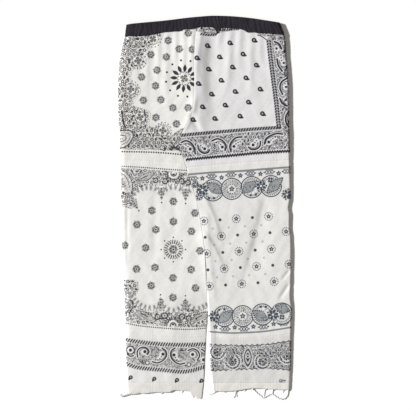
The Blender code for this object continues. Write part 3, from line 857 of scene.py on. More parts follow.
def border_leaf(p, x0, y0, x1, y1, width, beaded):
    """A broad leaf of fine filigree, with dark beads along one edge."""
    inside = p.leaf(x0, y0, x1, y1, width)
    p.wash(np.arange(p.x.size), inside - 2.2, 0.15)
    p.tint(inside, 0.3)
    p.filigree(inside, 5.6, 17, 1.0)
    p.edge(inside, 1.8, 0.7)
    angle = math.degrees(math.atan2(y1 - y0, x1 - x0))
    middle = around((x0 + x1) / 2, (y0 + y1) / 2, width * 0.58, angle + 90 * beaded)
    p.strokes([(x0, y0), middle, (x1, y1)], 5.6, 0, 3.4, 3.0)
    p.line([around(x0, y0, 16.8, angle), around(x0, y0, 36.4, angle)], 2.4, 0.95)


def print_middle_left(p):
    border_top = np.interp(p.x, [-235.5, -0.3], [115.6, 100.2])
    border_in = np.interp(p.x, [-235.5, -199.1, -182.3, -157.1, -131.9, -112.3, -89.9, -64.7, -47.9, -0.3],
                          [27.4, 33, 55.4, 68, 61, 61, 72.2, 61, 58.2, 66.6])
    upper = np.maximum(p.y - border_top, border_in - p.y)
    border_bottom = np.interp(p.x, [-227.1, -154.3, -84.3, -0.3], [-318.4, -329.6, -335.4, -335.4])
    border_up = np.interp(p.x, [-227.1, -199.1, -182.3, -151.5, -126.3, -115.1, -89.9, -64.7, -47.9, -0.3],
                          [-249.8, -263.8, -280.6, -293.2, -283.4, -284.8, -297.4, -286.2, -280.6, -289])
    under = np.maximum(border_bottom - p.y, p.y - border_up)
    for region, seed in ((upper, 21), (under, 22)):
        p.tint(region, 0.12)
        p.filigree(region, 6.2, seed, 1.0)
        ornaments(p, region, 12.0, seed + 5, 0.9)
    for clump in ([(-238.3, 49.8), (-213.1, 38.6), (-201.9, 21.8), (-193.5, 2.2), (-207.5, -3.4), (-227.1, 2.2), (-238.3, 10.6)],
                  [(-229.9, -202.2), (-204.7, -199.4), (-187.9, -205), (-185.1, -230.2), (-193.5, -247), (-221.5, -252.6), (-229.9, -247)]):
        region = p.polygon(clump)
        p.tint(region, 0.15)
        p.filigree(region, 6.2, 23, 1.0)
        ornaments(p, region, 12.0, 24, 0.95)
    x, y = MEDALLION
    ring = np.abs(p.circle(x, y, 21.8)) - 5.3
    p.tint(ring, 0.2)
    rosette(p, x, y, 13.4, 0, 0.95, 6)
    p.strokes(arc_points(x, y, 20.2, 0, 360, 33), 6.2, 90, 9.5, 3.0, 0.85)
    p.strokes(arc_points(x, y, 26.3, 0, 360, 33), 6.6, 90, 3.6, 3.2, 0.75)
    p.beads(x, y, 34.2, 8, 2.2, 0.85, 90)
    for i, (rx, ry) in enumerate(ROSETTES_MIDDLE_LEFT):
        rosette(p, rx, ry, 11.8, 31 * i, 0.95, 6)
    for sign, arcs in (
        (1, ([(-197.7, 19), (-189.6, 35.8), (-175.3, 44.8), (-157.1, 47.6), (-140.3, 43.7), (-130.2, 30.2)],
             [(-114, 31.6), (-106.7, 42.6), (-88.2, 48.7), (-70.3, 43.1), (-61.9, 31.6)],
             [(-46.8, 27.4), (-36.7, 41.4), (-19.9, 47), (-0.3, 44.2)])),
        (-1, ([(-201.9, -238.6), (-185.9, -255.4), (-170.5, -266.6), (-151.5, -270.5), (-136.4, -266), (-130.5, -252.6)],
              [(-117.9, -258.2), (-106.7, -271.6), (-89.6, -278.3), (-73.1, -271.6), (-63, -258.2)],
              [(-49, -255.4), (-36.7, -269.4), (-22.7, -273.3), (3.6, -262.1)])),
    ):
        for points in arcs:
            scallop(p, points, sign)
    pendant(p, -122.4, 56.8, -89, 42)
    pendant(p, -54.6, 54, -90, 42)
    pendant(p, -203.3, 20.4, -58, 33.6)
    pendant(p, -124.6, -283.4, 90, 39.8)
    pendant(p, -55.2, -286.2, 90, 39.8)
    half_round(p, -88.2, 96.3, 14.6, 180)
    half_round(p, -89.6, -329.3, 14.6, 0)
    border_leaf(p, -193.5, 75, -137.5, 100.2, 18.5, -1)
    border_leaf(p, -193.5, -287.6, -134.7, -318.4, 16.8, 1)
    border_leaf(p, -42.3, -318.4, 10.9, -291.8, 16.8, 1)
    for cx, cy, radius in ((-138.6, 76.7, 5.9), (-112.3, 74.2, 6.4), (-65.5, 74.2, 6.4),
                           (-47.9, 70.6, 5.9), (-133, -305.8, 6.4), (-113.4, -301.8, 7.6),
                           (-64.7, -304.9, 7), (-45.9, -309.4, 5.9)):
        p.dot(cx, cy, radius * 1.3, 0.4)
        p.arc(cx, cy, radius * 1.15, 40 * cx, 290, 3.4, 0.8)
        p.hole(cx, cy, radius * 0.6, 0.25)
        p.dot(cx, cy, radius * 0.32, 0.9)
    p.wash(np.arange(p.x.size), p.polygon([(-243.9, 103), (-221.5, 101.6), (-207.5, 83.4), (-201.9, 58.2), (-207.5, 44.2), (-243.9, 41.4)]), 0.5)
    p.strokes([(-231.6, 104.2), (-219.5, 97.4), (-207.2, 78.7), (-203, 60.2), (-205.5, 44.2)], 5.2, 0, 3.8, 3.4, 1.0)
    p.curve([(-235.5, 97.4), (-224.3, 89), (-215.9, 75), (-211.4, 55.4)], 2.4, 0.75)
    region = p.polygon([(-243.9, 91.8), (-229.9, 83.4), (-221.5, 66.6), (-218.7, 49.8), (-243.9, 61)])
    p.tint(region, 0.3)
    p.filigree(region, 5.6, 31, 1.0)
    p.dot(-229, 42, 3.4)
    p.curve([(-213.1, -258.2), (-203, -262.6), (-203.6, -280), (-213.9, -297.4)], 3.0, 0.95)
    p.curve([(-221.5, -263.8), (-211.4, -269.4), (-213.1, -283.4), (-224.3, -297.4)], 2.2, 0.8)
    for points in ([(-235.5, 116.5), (-173.9, 113.1), (-114, 108.4), (-45.1, 104.2)],
                   [(-224.3, -322.6), (-182.8, -330.4), (-139.4, -334.9), (-83.4, -339.4), (-39.8, -340.5), (5.3, -337.1)]):
        p.curve(points, 8.4, washed=True)
        for bx, by, _ in route(points, 6.0):
            p.dot(bx, by, 2.0, 0.9)


# Middle right print: ringed stars in staggered rows, between borders of linked circles.
STAR_START = (-3.6, -37)
STAR_COLUMN = (90.7, 6.4)
STAR_ROW = (3.9, -45.6)
STAR_ROWS = 5


def field_place(row, column):
    """A place in the staggered field, in rows and columns that may be halves."""
    x = STAR_START[0] + STAR_COLUMN[0] * column + STAR_ROW[0] * row
    y = STAR_START[1] + STAR_COLUMN[1] * column + STAR_ROW[1] * row
    return x, y


def ringed_star(p, x, y, size):
    star(p, x, y, size * 0.7, 90, 0.85)
    p.dot(x, y, size * 0.3, 0.6)
    p.hole(x, y, size * 0.12, 0.2)
    p.beads(x, y, size, 13, size * 0.15, 0.9)


# The border circles: centre, radius and what is inside. A leaf gives its two ends.
LINKS = (
    (21.3, 49, 29.7, (3.6, 70.6, 50.1, 39.8)),
    (74.8, 52.9, 29.4, None),
    (130.8, 57.7, 29.7, (102.2, 40.3, 143.6, 75.6)),
    (184.5, 60.8, 29.4, (172.2, 40.3, 218.1, 85.1)),
    (53.2, -303.2, 28.8, (35, -323.7, 77, -286.7)),
    (105.3, -303.2, 29.1, None),
    (160.4, -298.5, 29.4, (131.3, -287.3, 176.1, -316.4)),
    (215, -296.2, 29.7, (195.7, -276.1, 237.7, -289)),
)
LINK_DOTS = (
    (10.9, 27.4), (24.6, 27.2), (128, 35.3), (142.5, 37.5), (39.5, -285.6), (54, -284.5), (156, -277.5),
    (169.4, -277.5),
)
DARK_FLOWERS = (
    (-7.6, 49.8, 13.4), (156.5, 61, 12.6), (229.3, 37.2, 11.8), (26, -304.1, 12.3),
    (190.1, -299, 12.9), (-26.9, 65.2, 8.4), (-17.1, 30.2, 8.4),
)
SMALL_STARS = (
    (-7.6, 82.6), (46.2, 84.6), (98.8, 90.2), (154.8, 94.9), (205.8, 96.6), (29.4, -333.5), (82.9, -334.9),
    (135, -332.6), (191.8, -325.1),
)
CARTOUCHES = (
    (17.9, 87.9, 3), (72.5, 92.1, 4), (127.1, 96.3, 5), (180, 100.2, 4), (230.4, 102.5, 4),
    (55.7, -339.1, -1), (108.9, -339.1, 1), (163.8, -333.5, 5), (219.5, -324, 8), (-33.9, 81.8, 6),
)


def dark_flower(p, x, y, size):
    """A dense round flower of short dark leaves."""
    p.hole(x, y, size * 1.15, 0.42)
    p.filigree(p.circle(x, y, size * 1.3), 6.2, int(x), 1.0)
    for k in range(6):
        angle = 60 * k + x
        p.petal(x, y, angle, size * 0.36, size * 1.2, size * 0.62)
        p.dot(*around(x, y, size * 1.2, angle + 28), size * 0.2, 0.9)
    p.hole(x, y, size * 0.42, 0.2)
    p.ring(x, y, size * 0.36, size * 0.22, 0.9)


def linked_circle(p, x, y, radius, leaf):
    """One circle of the border chain, with a leaf or a star flower in it."""
    p.hole(x, y, radius * 0.92)
    p.ring(x, y, radius, 2.8, 1.0)
    p.strokes(arc_points(x, y, radius * 0.84, 0, 360, 33), 5.6, 30, 3.4, 2.6, 0.9)
    if leaf is None:
        ring = np.maximum(p.circle(x, y, radius * 0.8), -p.circle(x, y, radius * 0.46))
        p.tint(ring, 0.24)
        p.filigree(ring, 5.8, 41, 1.0)
        star(p, x, y, 9, 90, 0.75)
        p.beads(x, y, radius * 0.44, 13, 1.7, 0.9)
        return
    inside = p.leaf(*leaf, 24.1)
    rim = np.maximum(p.circle(x, y, radius * 0.78), -inside - 2.8)
    p.edge(p.circle(x, y, radius * 0.74), 1.8, 0.7)
    p.filigree(rim, 6.4, 47, 0.5)
    p.wash(np.arange(p.x.size), inside - 2, 0.1)
    p.tint(inside, 0.5)
    p.filigree(inside, 6.2, 43, 1.0)
    p.edge(inside, 1.8, 0.6)
    angle = math.degrees(math.atan2(leaf[3] - leaf[1], leaf[2] - leaf[0]))
    for side in (-1, 1):
        middle = around((leaf[0] + leaf[2]) / 2, (leaf[1] + leaf[3]) / 2, 13.7, angle + 90 * side)
        p.strokes([leaf[:2], middle, leaf[2:]], 5.8, 70, 4.6, 3.2, 0.95)


def print_middle_right(p):
    for row in range(STAR_ROWS):
        stagger = 0.5 if row % 2 else 0.0
        for column in range(-1, 3):
            ringed_star(p, *field_place(row, column + stagger), 10.9)
            x, y = field_place(row, column + stagger + 0.5)
            if x < 195.7:
                p.dot(x, y, 4.2, 0.95)
        if row < STAR_ROWS - 1:
            for column in range(-1, 3):
                for half in (0.25, 0.75):
                    x, y = field_place(row + 0.5, column + half)
                    if x < 170.5:
                        p.dot(x, y, 3.5, 0.36)
    for x, y, turn in CARTOUCHES:
        for k in (-1, 0, 1):
            link_x, link_y = around(x, y, k * 7.8, turn)
            p.ring(link_x, link_y, 3.5, 2.2, 0.85)
        for side in (-1, 1):
            p.bar(*around(x, y, side * 5.9, turn + 90), turn, 22.4, 2.0, 0.75)
            p.dot(*around(x, y, side * 14, turn), 2.2, 0.8)
    for x, y, radius, leaf in LINKS:
        linked_circle(p, x, y, radius, leaf)
    for x, y in LINK_DOTS:
        p.dot(x, y, 3.4)
    for x, y, size in DARK_FLOWERS:
        dark_flower(p, x, y, size)
    for x, y in SMALL_STARS:
        p.hole(x, y, 8.4)
        star(p, x, y, 7.8, 90, 0.8)
    for middle in ((182.8, 77.8), (215.3, -306.3)):
        for k in range(4):
            p.dot(*around(*middle, 4.8, 40 + 90 * k), 3.2)
            p.bar(*around(*middle, 9, 85 + 90 * k), 85 + 90 * k, 4.5, 1.6, 0.7)
    p.filigree(p.leaf(220.9, 61, 248.9, 21.8, 22.4), 4.8, 45, 0.9)
    # The top line is the print's border line, drawn wider than the lower one so that it also carries painted seam
    # shade.
    p.curve([(-50.7, 93), (16.5, 98.6), (97.7, 103), (167.7, 108.6), (248.9, 114.8)], 5.8, 0.62)
    p.curve([(10.9, -346.6), (47.3, -349.4), (83.7, -350.6), (156.5, -346.9), (201.3, -341), (248.9, -333.2)], 5.0, 0.62)


# Lower left print: paisleys between two ropes.
ROPE_LOWER_TOP = [(-224.3, -369.6), (-171.1, -377.4), (-117.9, -382.2), (-53.5, -384.2), (5.3, -381.9)]
ROPE_LOWER_LOW = [(-224.3, -435.7), (-186.8, -447.4), (-117.9, -454.2), (-65.2, -459.2), (-34.2, -455.3), (2.5, -444.1)]
SCROLLS_LOWER_LEFT = (
    ([(-189, -418.9), (-189.8, -402.6), (-180.3, -391.7), (-164.9, -392), (-157.1, -402.6), (-162.7, -412.2)], (-168.8, -402.9), ()),
    ([(-121.8, -392), (-109.8, -401.5), (-108.4, -415), (-118.2, -427.8), (-133.8, -434.3), (-149.8, -430.6)], (-117.9, -409.9),
     ((-122.4, -417.2), (-126.8, -422.8), (-132.4, -426.2))),
    ([(-83.2, -392), (-94.9, -401.5), (-96, -416.6), (-87.1, -429.5), (-71.4, -437.9), (-55.7, -434.6)], (-87.1, -412.2),
     ((-83.2, -419.7), (-79, -425.9), (-74.2, -429.5))),
    ([(-49, -400.4), (-34.2, -395.1), (-20.2, -402.1), (-15.7, -415), (-21.8, -427.3)], (-35, -411), ()),
    ([(-199.6, -413.8), (-210.3, -415.5), (-220.4, -407.7)], (-209.2, -398.7), ()),
    ([(-11.5, -395.4), (-0.3, -403.8), (4.2, -417.8)], (-4.2, -426.2), ()),
)


def print_lower_left(p):
    top = np.interp(p.x, [q[0] for q in ROPE_LOWER_TOP], [q[1] for q in ROPE_LOWER_TOP]) - 7
    low = np.interp(p.x, [q[0] for q in ROPE_LOWER_LOW], [q[1] for q in ROPE_LOWER_LOW]) + 7
    band = np.maximum(p.y - top, low - p.y)
    p.tint(band, 0.26)
    p.filigree(band, 6.4, 51, 1.0)
    for cx, cy, radius in ((-141.4, -402.6, 15.7), (-60.2, -407.7, 16.2), (-102.2, -391.4, 7.3),
                           (-175, -429, 9.5), (-5.9, -412.2, 8.4), (-102.8, -443, 6.2)):
        inside = p.circle(cx, cy, radius)
        p.tint(inside, 0.3)
        p.filigree(inside, 5.8, 52, 1.0)
    for points in (ROPE_LOWER_TOP, ROPE_LOWER_LOW):
        p.curve(points, 14, washed=True)
        p.curve(points, 9.5, 0.2)
        rope(p, points, 7.1, 11.5, 1.0, 62)
        for side in (-1, 1):
            p.curve([(x, y + side * 7) for x, y in points], 1.2, 0.32)
    for arc, seed, spine in SCROLLS_LOWER_LEFT:
        p.scroll(arc, seed, spine, 4.5, 3.8, 0.0)
    p.ring(-209.2, -398.7, 10.9, 3.0, 0.95)
    p.ring(-35, -411, 10.1, 2.0, 0.7)
    for cx, cy in ((-161.6, -434), (-45.4, -439.6)):
        p.hole(cx, cy, 6.7)
        p.ring(cx, cy, 5.3, 2.4, 0.9)
    p.curve([(-188.2, -418.9), (-181.2, -431.8), (-169.4, -437.4)], 2.2, 0.75)
    p.curve([(-17.1, -426.2), (-25.5, -438.5), (-36.7, -444.1)], 2.2, 0.75)
    for dx, dy in ((-208.3, -474.9), (-142, -478.8), (-78.4, -482.2), (-9.8, -484.4)):
        eyed_drop(p, dx, dy, 5.6, 215, 1)


# Lower right print: one dense band of filigree with scalloped edges.
BAND_LOWER_TOP = ((16.5, -379.7), (55.7, -381.4), (97.7, -382.5), (139.7, -381.4), (176.1, -379.1), (212.5, -373), (246.1, -368.8))
BAND_LOWER_LOW = ((16.5, -459.8), (55.7, -457.8), (97.7, -455.8), (139.7, -454.2), (176.1, -452.5), (212.5, -455.3), (246.1, -458.6))
MEDALLIONS_LOWER_RIGHT = ((76.7, -430.4, 1), (161.6, -430.4, -1), (229.3, -415, 1), (34.7, -403.8, -1))


def print_lower_right(p):
    ripple = 3.6 * np.abs(np.sin(p.x * math.pi / 14.6))
    top = np.interp(p.x, *zip(*BAND_LOWER_TOP)) - ripple
    low = np.interp(p.x, *zip(*BAND_LOWER_LOW)) + ripple
    band = np.maximum(p.y - top, low - p.y)
    p.tint(band, 0.46)
    p.filigree(band, 7.0, 61, 1.0)
    ornaments(p, band, 11.0, 62, 1.0)
    p.edge(band + 1.0, 2.4, 0.95)
    for mx, my, hand in MEDALLIONS_LOWER_RIGHT:
        for radius in (8.3, 5.2):
            p.line(arc_points(mx, my, 2.8 * radius, 90 + 100 * hand, 230 * hand, 15), 2.6, 0.9, True)
        for radius in (6.8, 3.7):
            arc = arc_points(mx, my, 2.8 * radius, 90 + 100 * hand, 230 * hand, 15)
            p.strokes(arc, 5.6, 90, 4.8, 3.0, 1.0)
        p.dot(mx, my, 3.1)
        p.beads(mx, my, 7.3, 8, 1.5, 0.9)
    for ax in ((73.9, -410.8), (166.3, -409.4)):
        p.strokes(arc_points(*ax, 24.1, 20, 140, 11), 4.6, 0, 2.6, 2.4, 0.0)
        for bx, by, _ in route(arc_points(*ax, 24.1, 20, 140, 11), 5.2):
            p.hole(bx, by, 1.7, 0.1)
    centre = (119.6, -417.8)
    for size, washed in ((1.25, True), (1.0, False), (0.74, True), (0.5, False)):
        oval = p.leaf(centre[0], centre[1] - 28 * size, centre[0], centre[1] + 25.2 * size, 22.4 * size)
        if washed:
            p.wash(np.arange(p.x.size), oval, 0.3)
        else:
            p.tint(oval, 0.8)
    p.hole(119.6, -416.6, 5.3, 0.1)
    p.dot(119.6, -416.6, 2.8)
    for k in range(10):
        bx = 27.7 + 22.4 * k
        by = float(np.interp(bx, *zip(*BAND_LOWER_TOP))) - 10.1
        p.hole(bx, by, 4.2, 0.2)
        p.dot(bx, by, 2, 0.9)
    p.ring(211.4, -484.4, 3.1, 2.0, 0.9)
    p.bar(220.9, -483.3, -8, 12.3, 2.6, 0.9)
    p.bar(216.4, -487.8, 0, 15.1, 2.0, 0.85)
    for place in ((118.7, -481), (170.5, -482.7), (64.1, -482.2)):
        p.dot(*place, 6.2, 0.1)


PRINTS = {
    "upper_left": print_upper_left,
    "upper_right": print_upper_right,
    "middle_left": print_middle_left,
    "middle_right": print_middle_right,
    "lower_left": print_lower_left,
    "lower_right": print_lower_right,
}


# Prints end.
def printed(panel, x, y):
    """The ink of a panel's print at its points."""
    sheet = Print(x, y)
    PRINTS[panel](sheet)
    return sheet.ink.reshape(sheet.shape)


Cloth = namedtuple("Cloth", "white ink rough")


def new_material(name):
    """A material with its shader and a helper that adds and wires nodes."""
    material = bpy.data.materials.new(name)
    material.use_nodes = True
    nodes, links = material.node_tree.nodes, material.node_tree.links
    shader = nodes["Principled BSDF"]

    def add(kind, inputs=None, **settings):
        node = nodes.new(kind)
        for key, value in settings.items():
            setattr(node, key, value)
        for key, value in (inputs or {}).items():
            if isinstance(value, bpy.types.NodeSocket):
                links.new(value, node.inputs[key])
            else:
                node.inputs[key].default_value = value
        return node

    return material, shader, add, links


def cloth_material(name, cloth):
    """Woven cotton with its print."""
    material, shader, add, links = new_material(name)
    place = add("ShaderNodeTexCoord").outputs["Object"]
    ink = add("ShaderNodeAttribute", attribute_name="ink").outputs["Fac"]
    blotch = add("ShaderNodeTexNoise", {"Vector": place, "Scale": 60, "Detail": 3})
    shift = add("ShaderNodeMapRange", {"Value": blotch.outputs["Fac"], "To Min": 0.95, "To Max": 1.03})
    edge = add("ShaderNodeMapRange", {"Value": ink, "From Min": 0.08, "From Max": 0.78})
    colour = add(
        "ShaderNodeMix", {0: edge.outputs[0], 6: cloth.white, 7: cloth.ink}, data_type="RGBA"
    )
    shade = add(
        "ShaderNodeVectorMath", {0: colour.outputs[2], "Scale": shift.outputs[0]}, operation="SCALE"
    )
    speck = add("ShaderNodeTexNoise", {"Vector": place, "Scale": 330, "Detail": 2})
    grain = add("ShaderNodeMapRange", {"Value": speck.outputs["Fac"], "To Min": 0.9, "To Max": 1.1})
    grained = add(
        "ShaderNodeVectorMath", {0: shade.outputs[0], "Scale": grain.outputs[0]}, operation="SCALE"
    )
    links.new(grained.outputs[0], shader.inputs["Base Color"])
    weave = add("ShaderNodeTexNoise", {"Vector": place, "Scale": 900, "Detail": 2})
    crumple = add("ShaderNodeTexNoise", {"Vector": place, "Scale": 45, "Detail": 4})
    soft = add(
        "ShaderNodeBump",
        {"Height": crumple.outputs["Fac"], "Strength": 0.15, "Distance": 0.002},
    )
    fine = add(
        "ShaderNodeBump",
        {"Height": weave.outputs["Fac"], "Strength": 0.3, "Distance": 0.0003,
         "Normal": soft.outputs[0]},
    )
    links.new(fine.outputs[0], shader.inputs["Normal"])
    shader.inputs["Roughness"].default_value = cloth.rough
    shader.inputs["Specular IOR Level"].default_value = 0.2
    shader.inputs["Sheen Weight"].default_value = 0.1
    return material


def yarn_material(name, light, dark, stretch, depth):
    """Cloth with no print: light and dark yarns in a streaky weave."""
    material, shader, add, links = new_material(name)
    place = add("ShaderNodeTexCoord").outputs["Object"]
    laid = add("ShaderNodeMapping", {"Vector": place, "Scale": stretch}).outputs[0]
    streak = add("ShaderNodeTexNoise", {"Vector": laid, "Scale": 300, "Detail": 3})
    patch = add("ShaderNodeTexNoise", {"Vector": place, "Scale": 35, "Detail": 2})
    mixed = add(
        "ShaderNodeMath", {0: streak.outputs["Fac"], 1: patch.outputs["Fac"]}, operation="ADD"
    )
    share = add("ShaderNodeMapRange", {"Value": mixed.outputs[0], "From Min": 0.7, "From Max": 1.3})
    colour = add("ShaderNodeMix", {0: share.outputs[0], 6: dark, 7: light}, data_type="RGBA")
    links.new(colour.outputs[2], shader.inputs["Base Color"])
    bump = add("ShaderNodeBump", {"Height": streak.outputs["Fac"], "Strength": 0.4, "Distance": depth})
    links.new(bump.outputs[0], shader.inputs["Normal"])
    shader.inputs["Roughness"].default_value = 0.92
    shader.inputs["Specular IOR Level"].default_value = 0.15
    shader.inputs["Sheen Weight"].default_value = 0.1
    return material


CLOTHS = {
    "upper_left": Cloth((0.755, 0.745, 0.72, 1), (0.030, 0.030, 0.035, 1), 0.9),
    "upper_right": Cloth((0.71, 0.703, 0.71, 1), (0.022, 0.022, 0.032, 1), 0.9),
    "middle_left": Cloth((0.76, 0.755, 0.735, 1), (0.035, 0.035, 0.04, 1), 0.9),
    "middle_right": Cloth((0.725, 0.72, 0.705, 1), (0.045, 0.06, 0.08, 1), 0.9),
    "lower_left": Cloth((0.735, 0.725, 0.715, 1), (0.028, 0.028, 0.04, 1), 0.9),
    "lower_right": Cloth((0.66, 0.65, 0.64, 1), (0.035, 0.045, 0.06, 1), 0.9),
}

LEGS = {"left": (side_left, inner_left), "right": (inner_right, side_right)}
# The waistband's lower edge as it shows, with its small steps. The narrow dips near x 33 and x 118 carry the black band
# down over the cloth as painted shade of deep folds below it.
SHOWN_BAND_BOTTOM = (
    (-230, 481.5), (-180, 482.4), (-156, 484.7), (-124, 491.5), (-92, 494.5), (-70.6, 496),
    (-59.4, 500.5), (-38.6, 501), (-19.3, 507), (0, 507.6), (22, 505), (29, 498), (33, 490),
    (37, 502), (61, 504.5), (96.6, 501.5), (110, 497), (118, 492), (132.4, 493), (142.5, 491),
    (168, 489.4), (195, 487), (230, 484),
)
shown_band_bottom = SmoothCurve(SHOWN_BAND_BOTTOM)
# How far the panels run on under the waistband.
PANEL_TUCK = 8.0
# A seam draws the cloth down along its line.
SEAM_DEPTH = 0.3
SEAM_WIDTH = 1.8
CRUMPLE = 0.16
FINE_CRUMPLE = 0.035
SEAM_PUCKER = 0.05
SEAM_PUCKER_REACH = 14.0
# Where the legs lie against each other, the left one's edge lies a little over the right one's.
LAP_RISE = 0.5
LAP_REACH = (13.0, 20.0)


def crumple(x, y):
    """Small soft unevenness all over worn cotton."""
    first = np.sin(x / 7.3 + 1.7 * np.sin(y / 31)) * np.sin(y / 13.7 + 1.3 * np.sin(x / 23))
    second = np.sin(x / 17.0 - y / 41 + 2) * np.sin(y / 29 + x / 53)
    third = np.sin(x / 3.3 + 2 * np.sin(y / 17)) * np.sin(y / 4.1 + 2 * np.sin(x / 19))
    return CRUMPLE * (first + 1.2 * second) + FINE_CRUMPLE * third


def seam_pucker(x, distance):
    """Short ripples that run off a sewn edge."""
    ripple = np.sin(x / 1.25 + 1.5 * np.sin(x / 9)) * (0.5 + 0.5 * np.sin(x / 13.7))
    return SEAM_PUCKER * ripple * np.exp(-((distance / SEAM_PUCKER_REACH) ** 2))


def seam_dip(distance):
    return SEAM_DEPTH * np.exp(-((distance / SEAM_WIDTH) ** 2))


def shell_height(outline, x, y):
    """The height of the upper layer as it shows, with its seams drawn in."""
    z = back_height(x, y) + crumple(x, y)
    z = z - seam_dip(outline.top(x) - y) - seam_dip(y - outline.bottom(x))
    z = z + seam_pucker(x, outline.top(x) - y) + seam_pucker(x, y - outline.bottom(x))
    from_seat = x - centre_line(y)
    z = z - seam_dip(np.abs(from_seat)) * (y > CROTCH_Y)
    lap = smooth_step(-CROTCH_Y - 20, -CROTCH_Y + 40, -y) * (1 - smooth_step(170, 240, -y))
    lap = lap * (0.35 + 0.65 * smooth_step(60, 190, -y))
    upper_leg = from_seat < 0
    reach = np.where(upper_leg, *LAP_REACH)
    return z + lap * np.where(upper_leg, LAP_RISE, -LAP_RISE) * np.exp(-((from_seat / reach) ** 2))


def back_panel(part, leg, outline, size, rolled_left, rolled_right):
    """One panel of the upper layer, printed."""
    x, y, z = back_sheet(outline, size, rolled_left, rolled_right)
    name = f"back_{part}_{leg}"
    mesh = grid_mesh(f"{name}_cloth", x, y, z, {"ink": printed(f"{part}_{leg}", x, y)})
    material = MATERIALS[f"{part}_{leg}"]
    piece = add_piece(f"{name}_cloth", mesh, material, [name])


def front_panel(part, leg, outline, size):
    """One panel of the lower layer, flat on the surface and printed as the back is."""
    across, up = np.meshgrid(shares(size[0], UNDER_STEP), shares(size[1], UNDER_STEP))
    x, y = place_in(outline, across, up)
    z = FLOOR_LAYER_Z + 0 * x
    name = f"front_{part}_{leg}"
    mesh = grid_mesh(f"{name}_cloth", x, y, z, {"ink": printed(f"{part}_{leg}", x, y)})
    piece = add_piece(f"{name}_cloth", mesh, MATERIALS[f"{part}_{leg}"], [name])


def build_panels():
    for leg, (left, right) in LEGS.items():
        outer = leg == "left"
        middle = Outline(left, right, lower_seam[leg], upper_seam[leg])
        lower = Outline(left, right, level(HEM_LINE_Y), lower_seam[leg])
        back_panel("upper", leg, Outline(left, right, upper_seam[leg], tucked_top), (240, 390),
                   outer, not outer)
        back_panel("middle", leg, middle, (240, 490), True, True)
        back_panel("lower", leg, lower, (222, 135), True, True)
        front_panel("upper", leg, Outline(left, right, upper_seam[leg], front_tucked_top), (240, 390))
        front_panel("middle", leg, middle, (240, 490))
        front_panel("lower", leg, lower, (222, 135))


def tucked_top(x):
    return band_bottom(x) + PANEL_TUCK


def front_band_top(x):
    """The top of the front half, which curves lower than the back."""
    return band_top(x) - FRONT_WAIST_DROP * np.cos(math.pi * x / 500) - FRONT_INSET


def front_band_bottom(x):
    return front_band_top(x) - BAND_WIDTH


def front_tucked_top(x):
    return front_band_bottom(x) + 2


BAND_STEP = 1.0
BAND_ROWS = 26
EDGE_STEPS = 5


def gathers(across, up):
    """The uneven folds of the waistband: 1 on a crest and 0 in a crease."""
    sway = 0.30 * np.sin(19 * across + 1) + 0.22 * np.sin(47 * across + 2) + 0.16 * np.sin(83 * across)
    lean = 0.22 * np.sin(31 * across + 2.5 * up) + 0.12 * np.sin(5 * up + 70 * across)
    phase = BAND_GATHERS * across + sway + lean
    crest = np.abs(np.sin(math.pi * phase)) ** 0.7
    own = scatter(np.floor(phase), 3, 5)
    return crest * (0.45 + 0.55 * own)


def waistband_back():
    """The upper half of the waistband: gathered over its elastic, turned over at both edges."""
    outline = Outline(side_left, side_right, shown_band_bottom, band_top)
    across, up = np.meshgrid(shares(436, BAND_STEP), np.linspace(0, 1, BAND_ROWS))
    x, y = place_in(outline, across, up)
    side = np.minimum(x - side_left(y), side_right(y) - x)
    rounded = pillow(side, SIDE_ROUNDING)
    z = 2 * BAND_WALL + LAYER_GAP + BAND_LOFT * rounded
    z = z + GATHER_RISE * gathers(across, up) * (0.3 + 0.7 * rounded)
    turn = np.linspace(0, 1, EDGE_STEPS + 1)[1:, None]
    fall = BAND_WALL * (1 - np.cos(math.pi * turn)) / 2
    out = 1.2 * np.sin(math.pi * turn)
    x = np.vstack([np.repeat(x[:1], EDGE_STEPS, 0), x, np.repeat(x[-1:], EDGE_STEPS, 0)])
    y = np.vstack([(y[:1] - out)[::-1], y, y[-1:] + out])
    z = np.vstack([(z[:1] - fall)[::-1], z, z[-1:] - fall])
    x, y, z = rolled_to_floor(x, y, z, True, True)
    mesh = grid_mesh("waistband_back_cloth", x, y, z, {})
    nodes = ["waistband_back"]
    piece = add_piece("waistband_back_cloth", mesh, MATERIALS["waistband"], nodes)


def waistband_front():
    """The lower half of the waistband, on the surface, doubled over its elastic."""
    outline = Outline(side_left, side_right, front_band_bottom, front_band_top)
    across, up = np.meshgrid(shares(436, 1.5), np.linspace(0, 1, 12))
    x, y = place_in(outline, across, up)
    under = 0.3 + 0.5 * (1 - gathers(across + 0.37, up))
    turn = np.linspace(0, 1, EDGE_STEPS + 1)[1:, None]
    rise = (BAND_WALL - 0.4) * (1 - np.cos(math.pi * turn)) / 2
    rolled_y = y[-1:] + np.sin(math.pi * turn)
    inner = y[::-1][1:]
    z = np.vstack([under, under[-1:] + rise, 0 * inner + BAND_WALL])
    x = np.vstack([x, np.repeat(x[-1:], EDGE_STEPS, 0), x[::-1][1:]])
    y = np.vstack([y, rolled_y, inner])
    mesh = grid_mesh("waistband_front_cloth", x, y, z, {})
    nodes = ["waistband_front"]
    piece = add_piece("waistband_front_cloth", mesh, MATERIALS["waistband"], nodes)


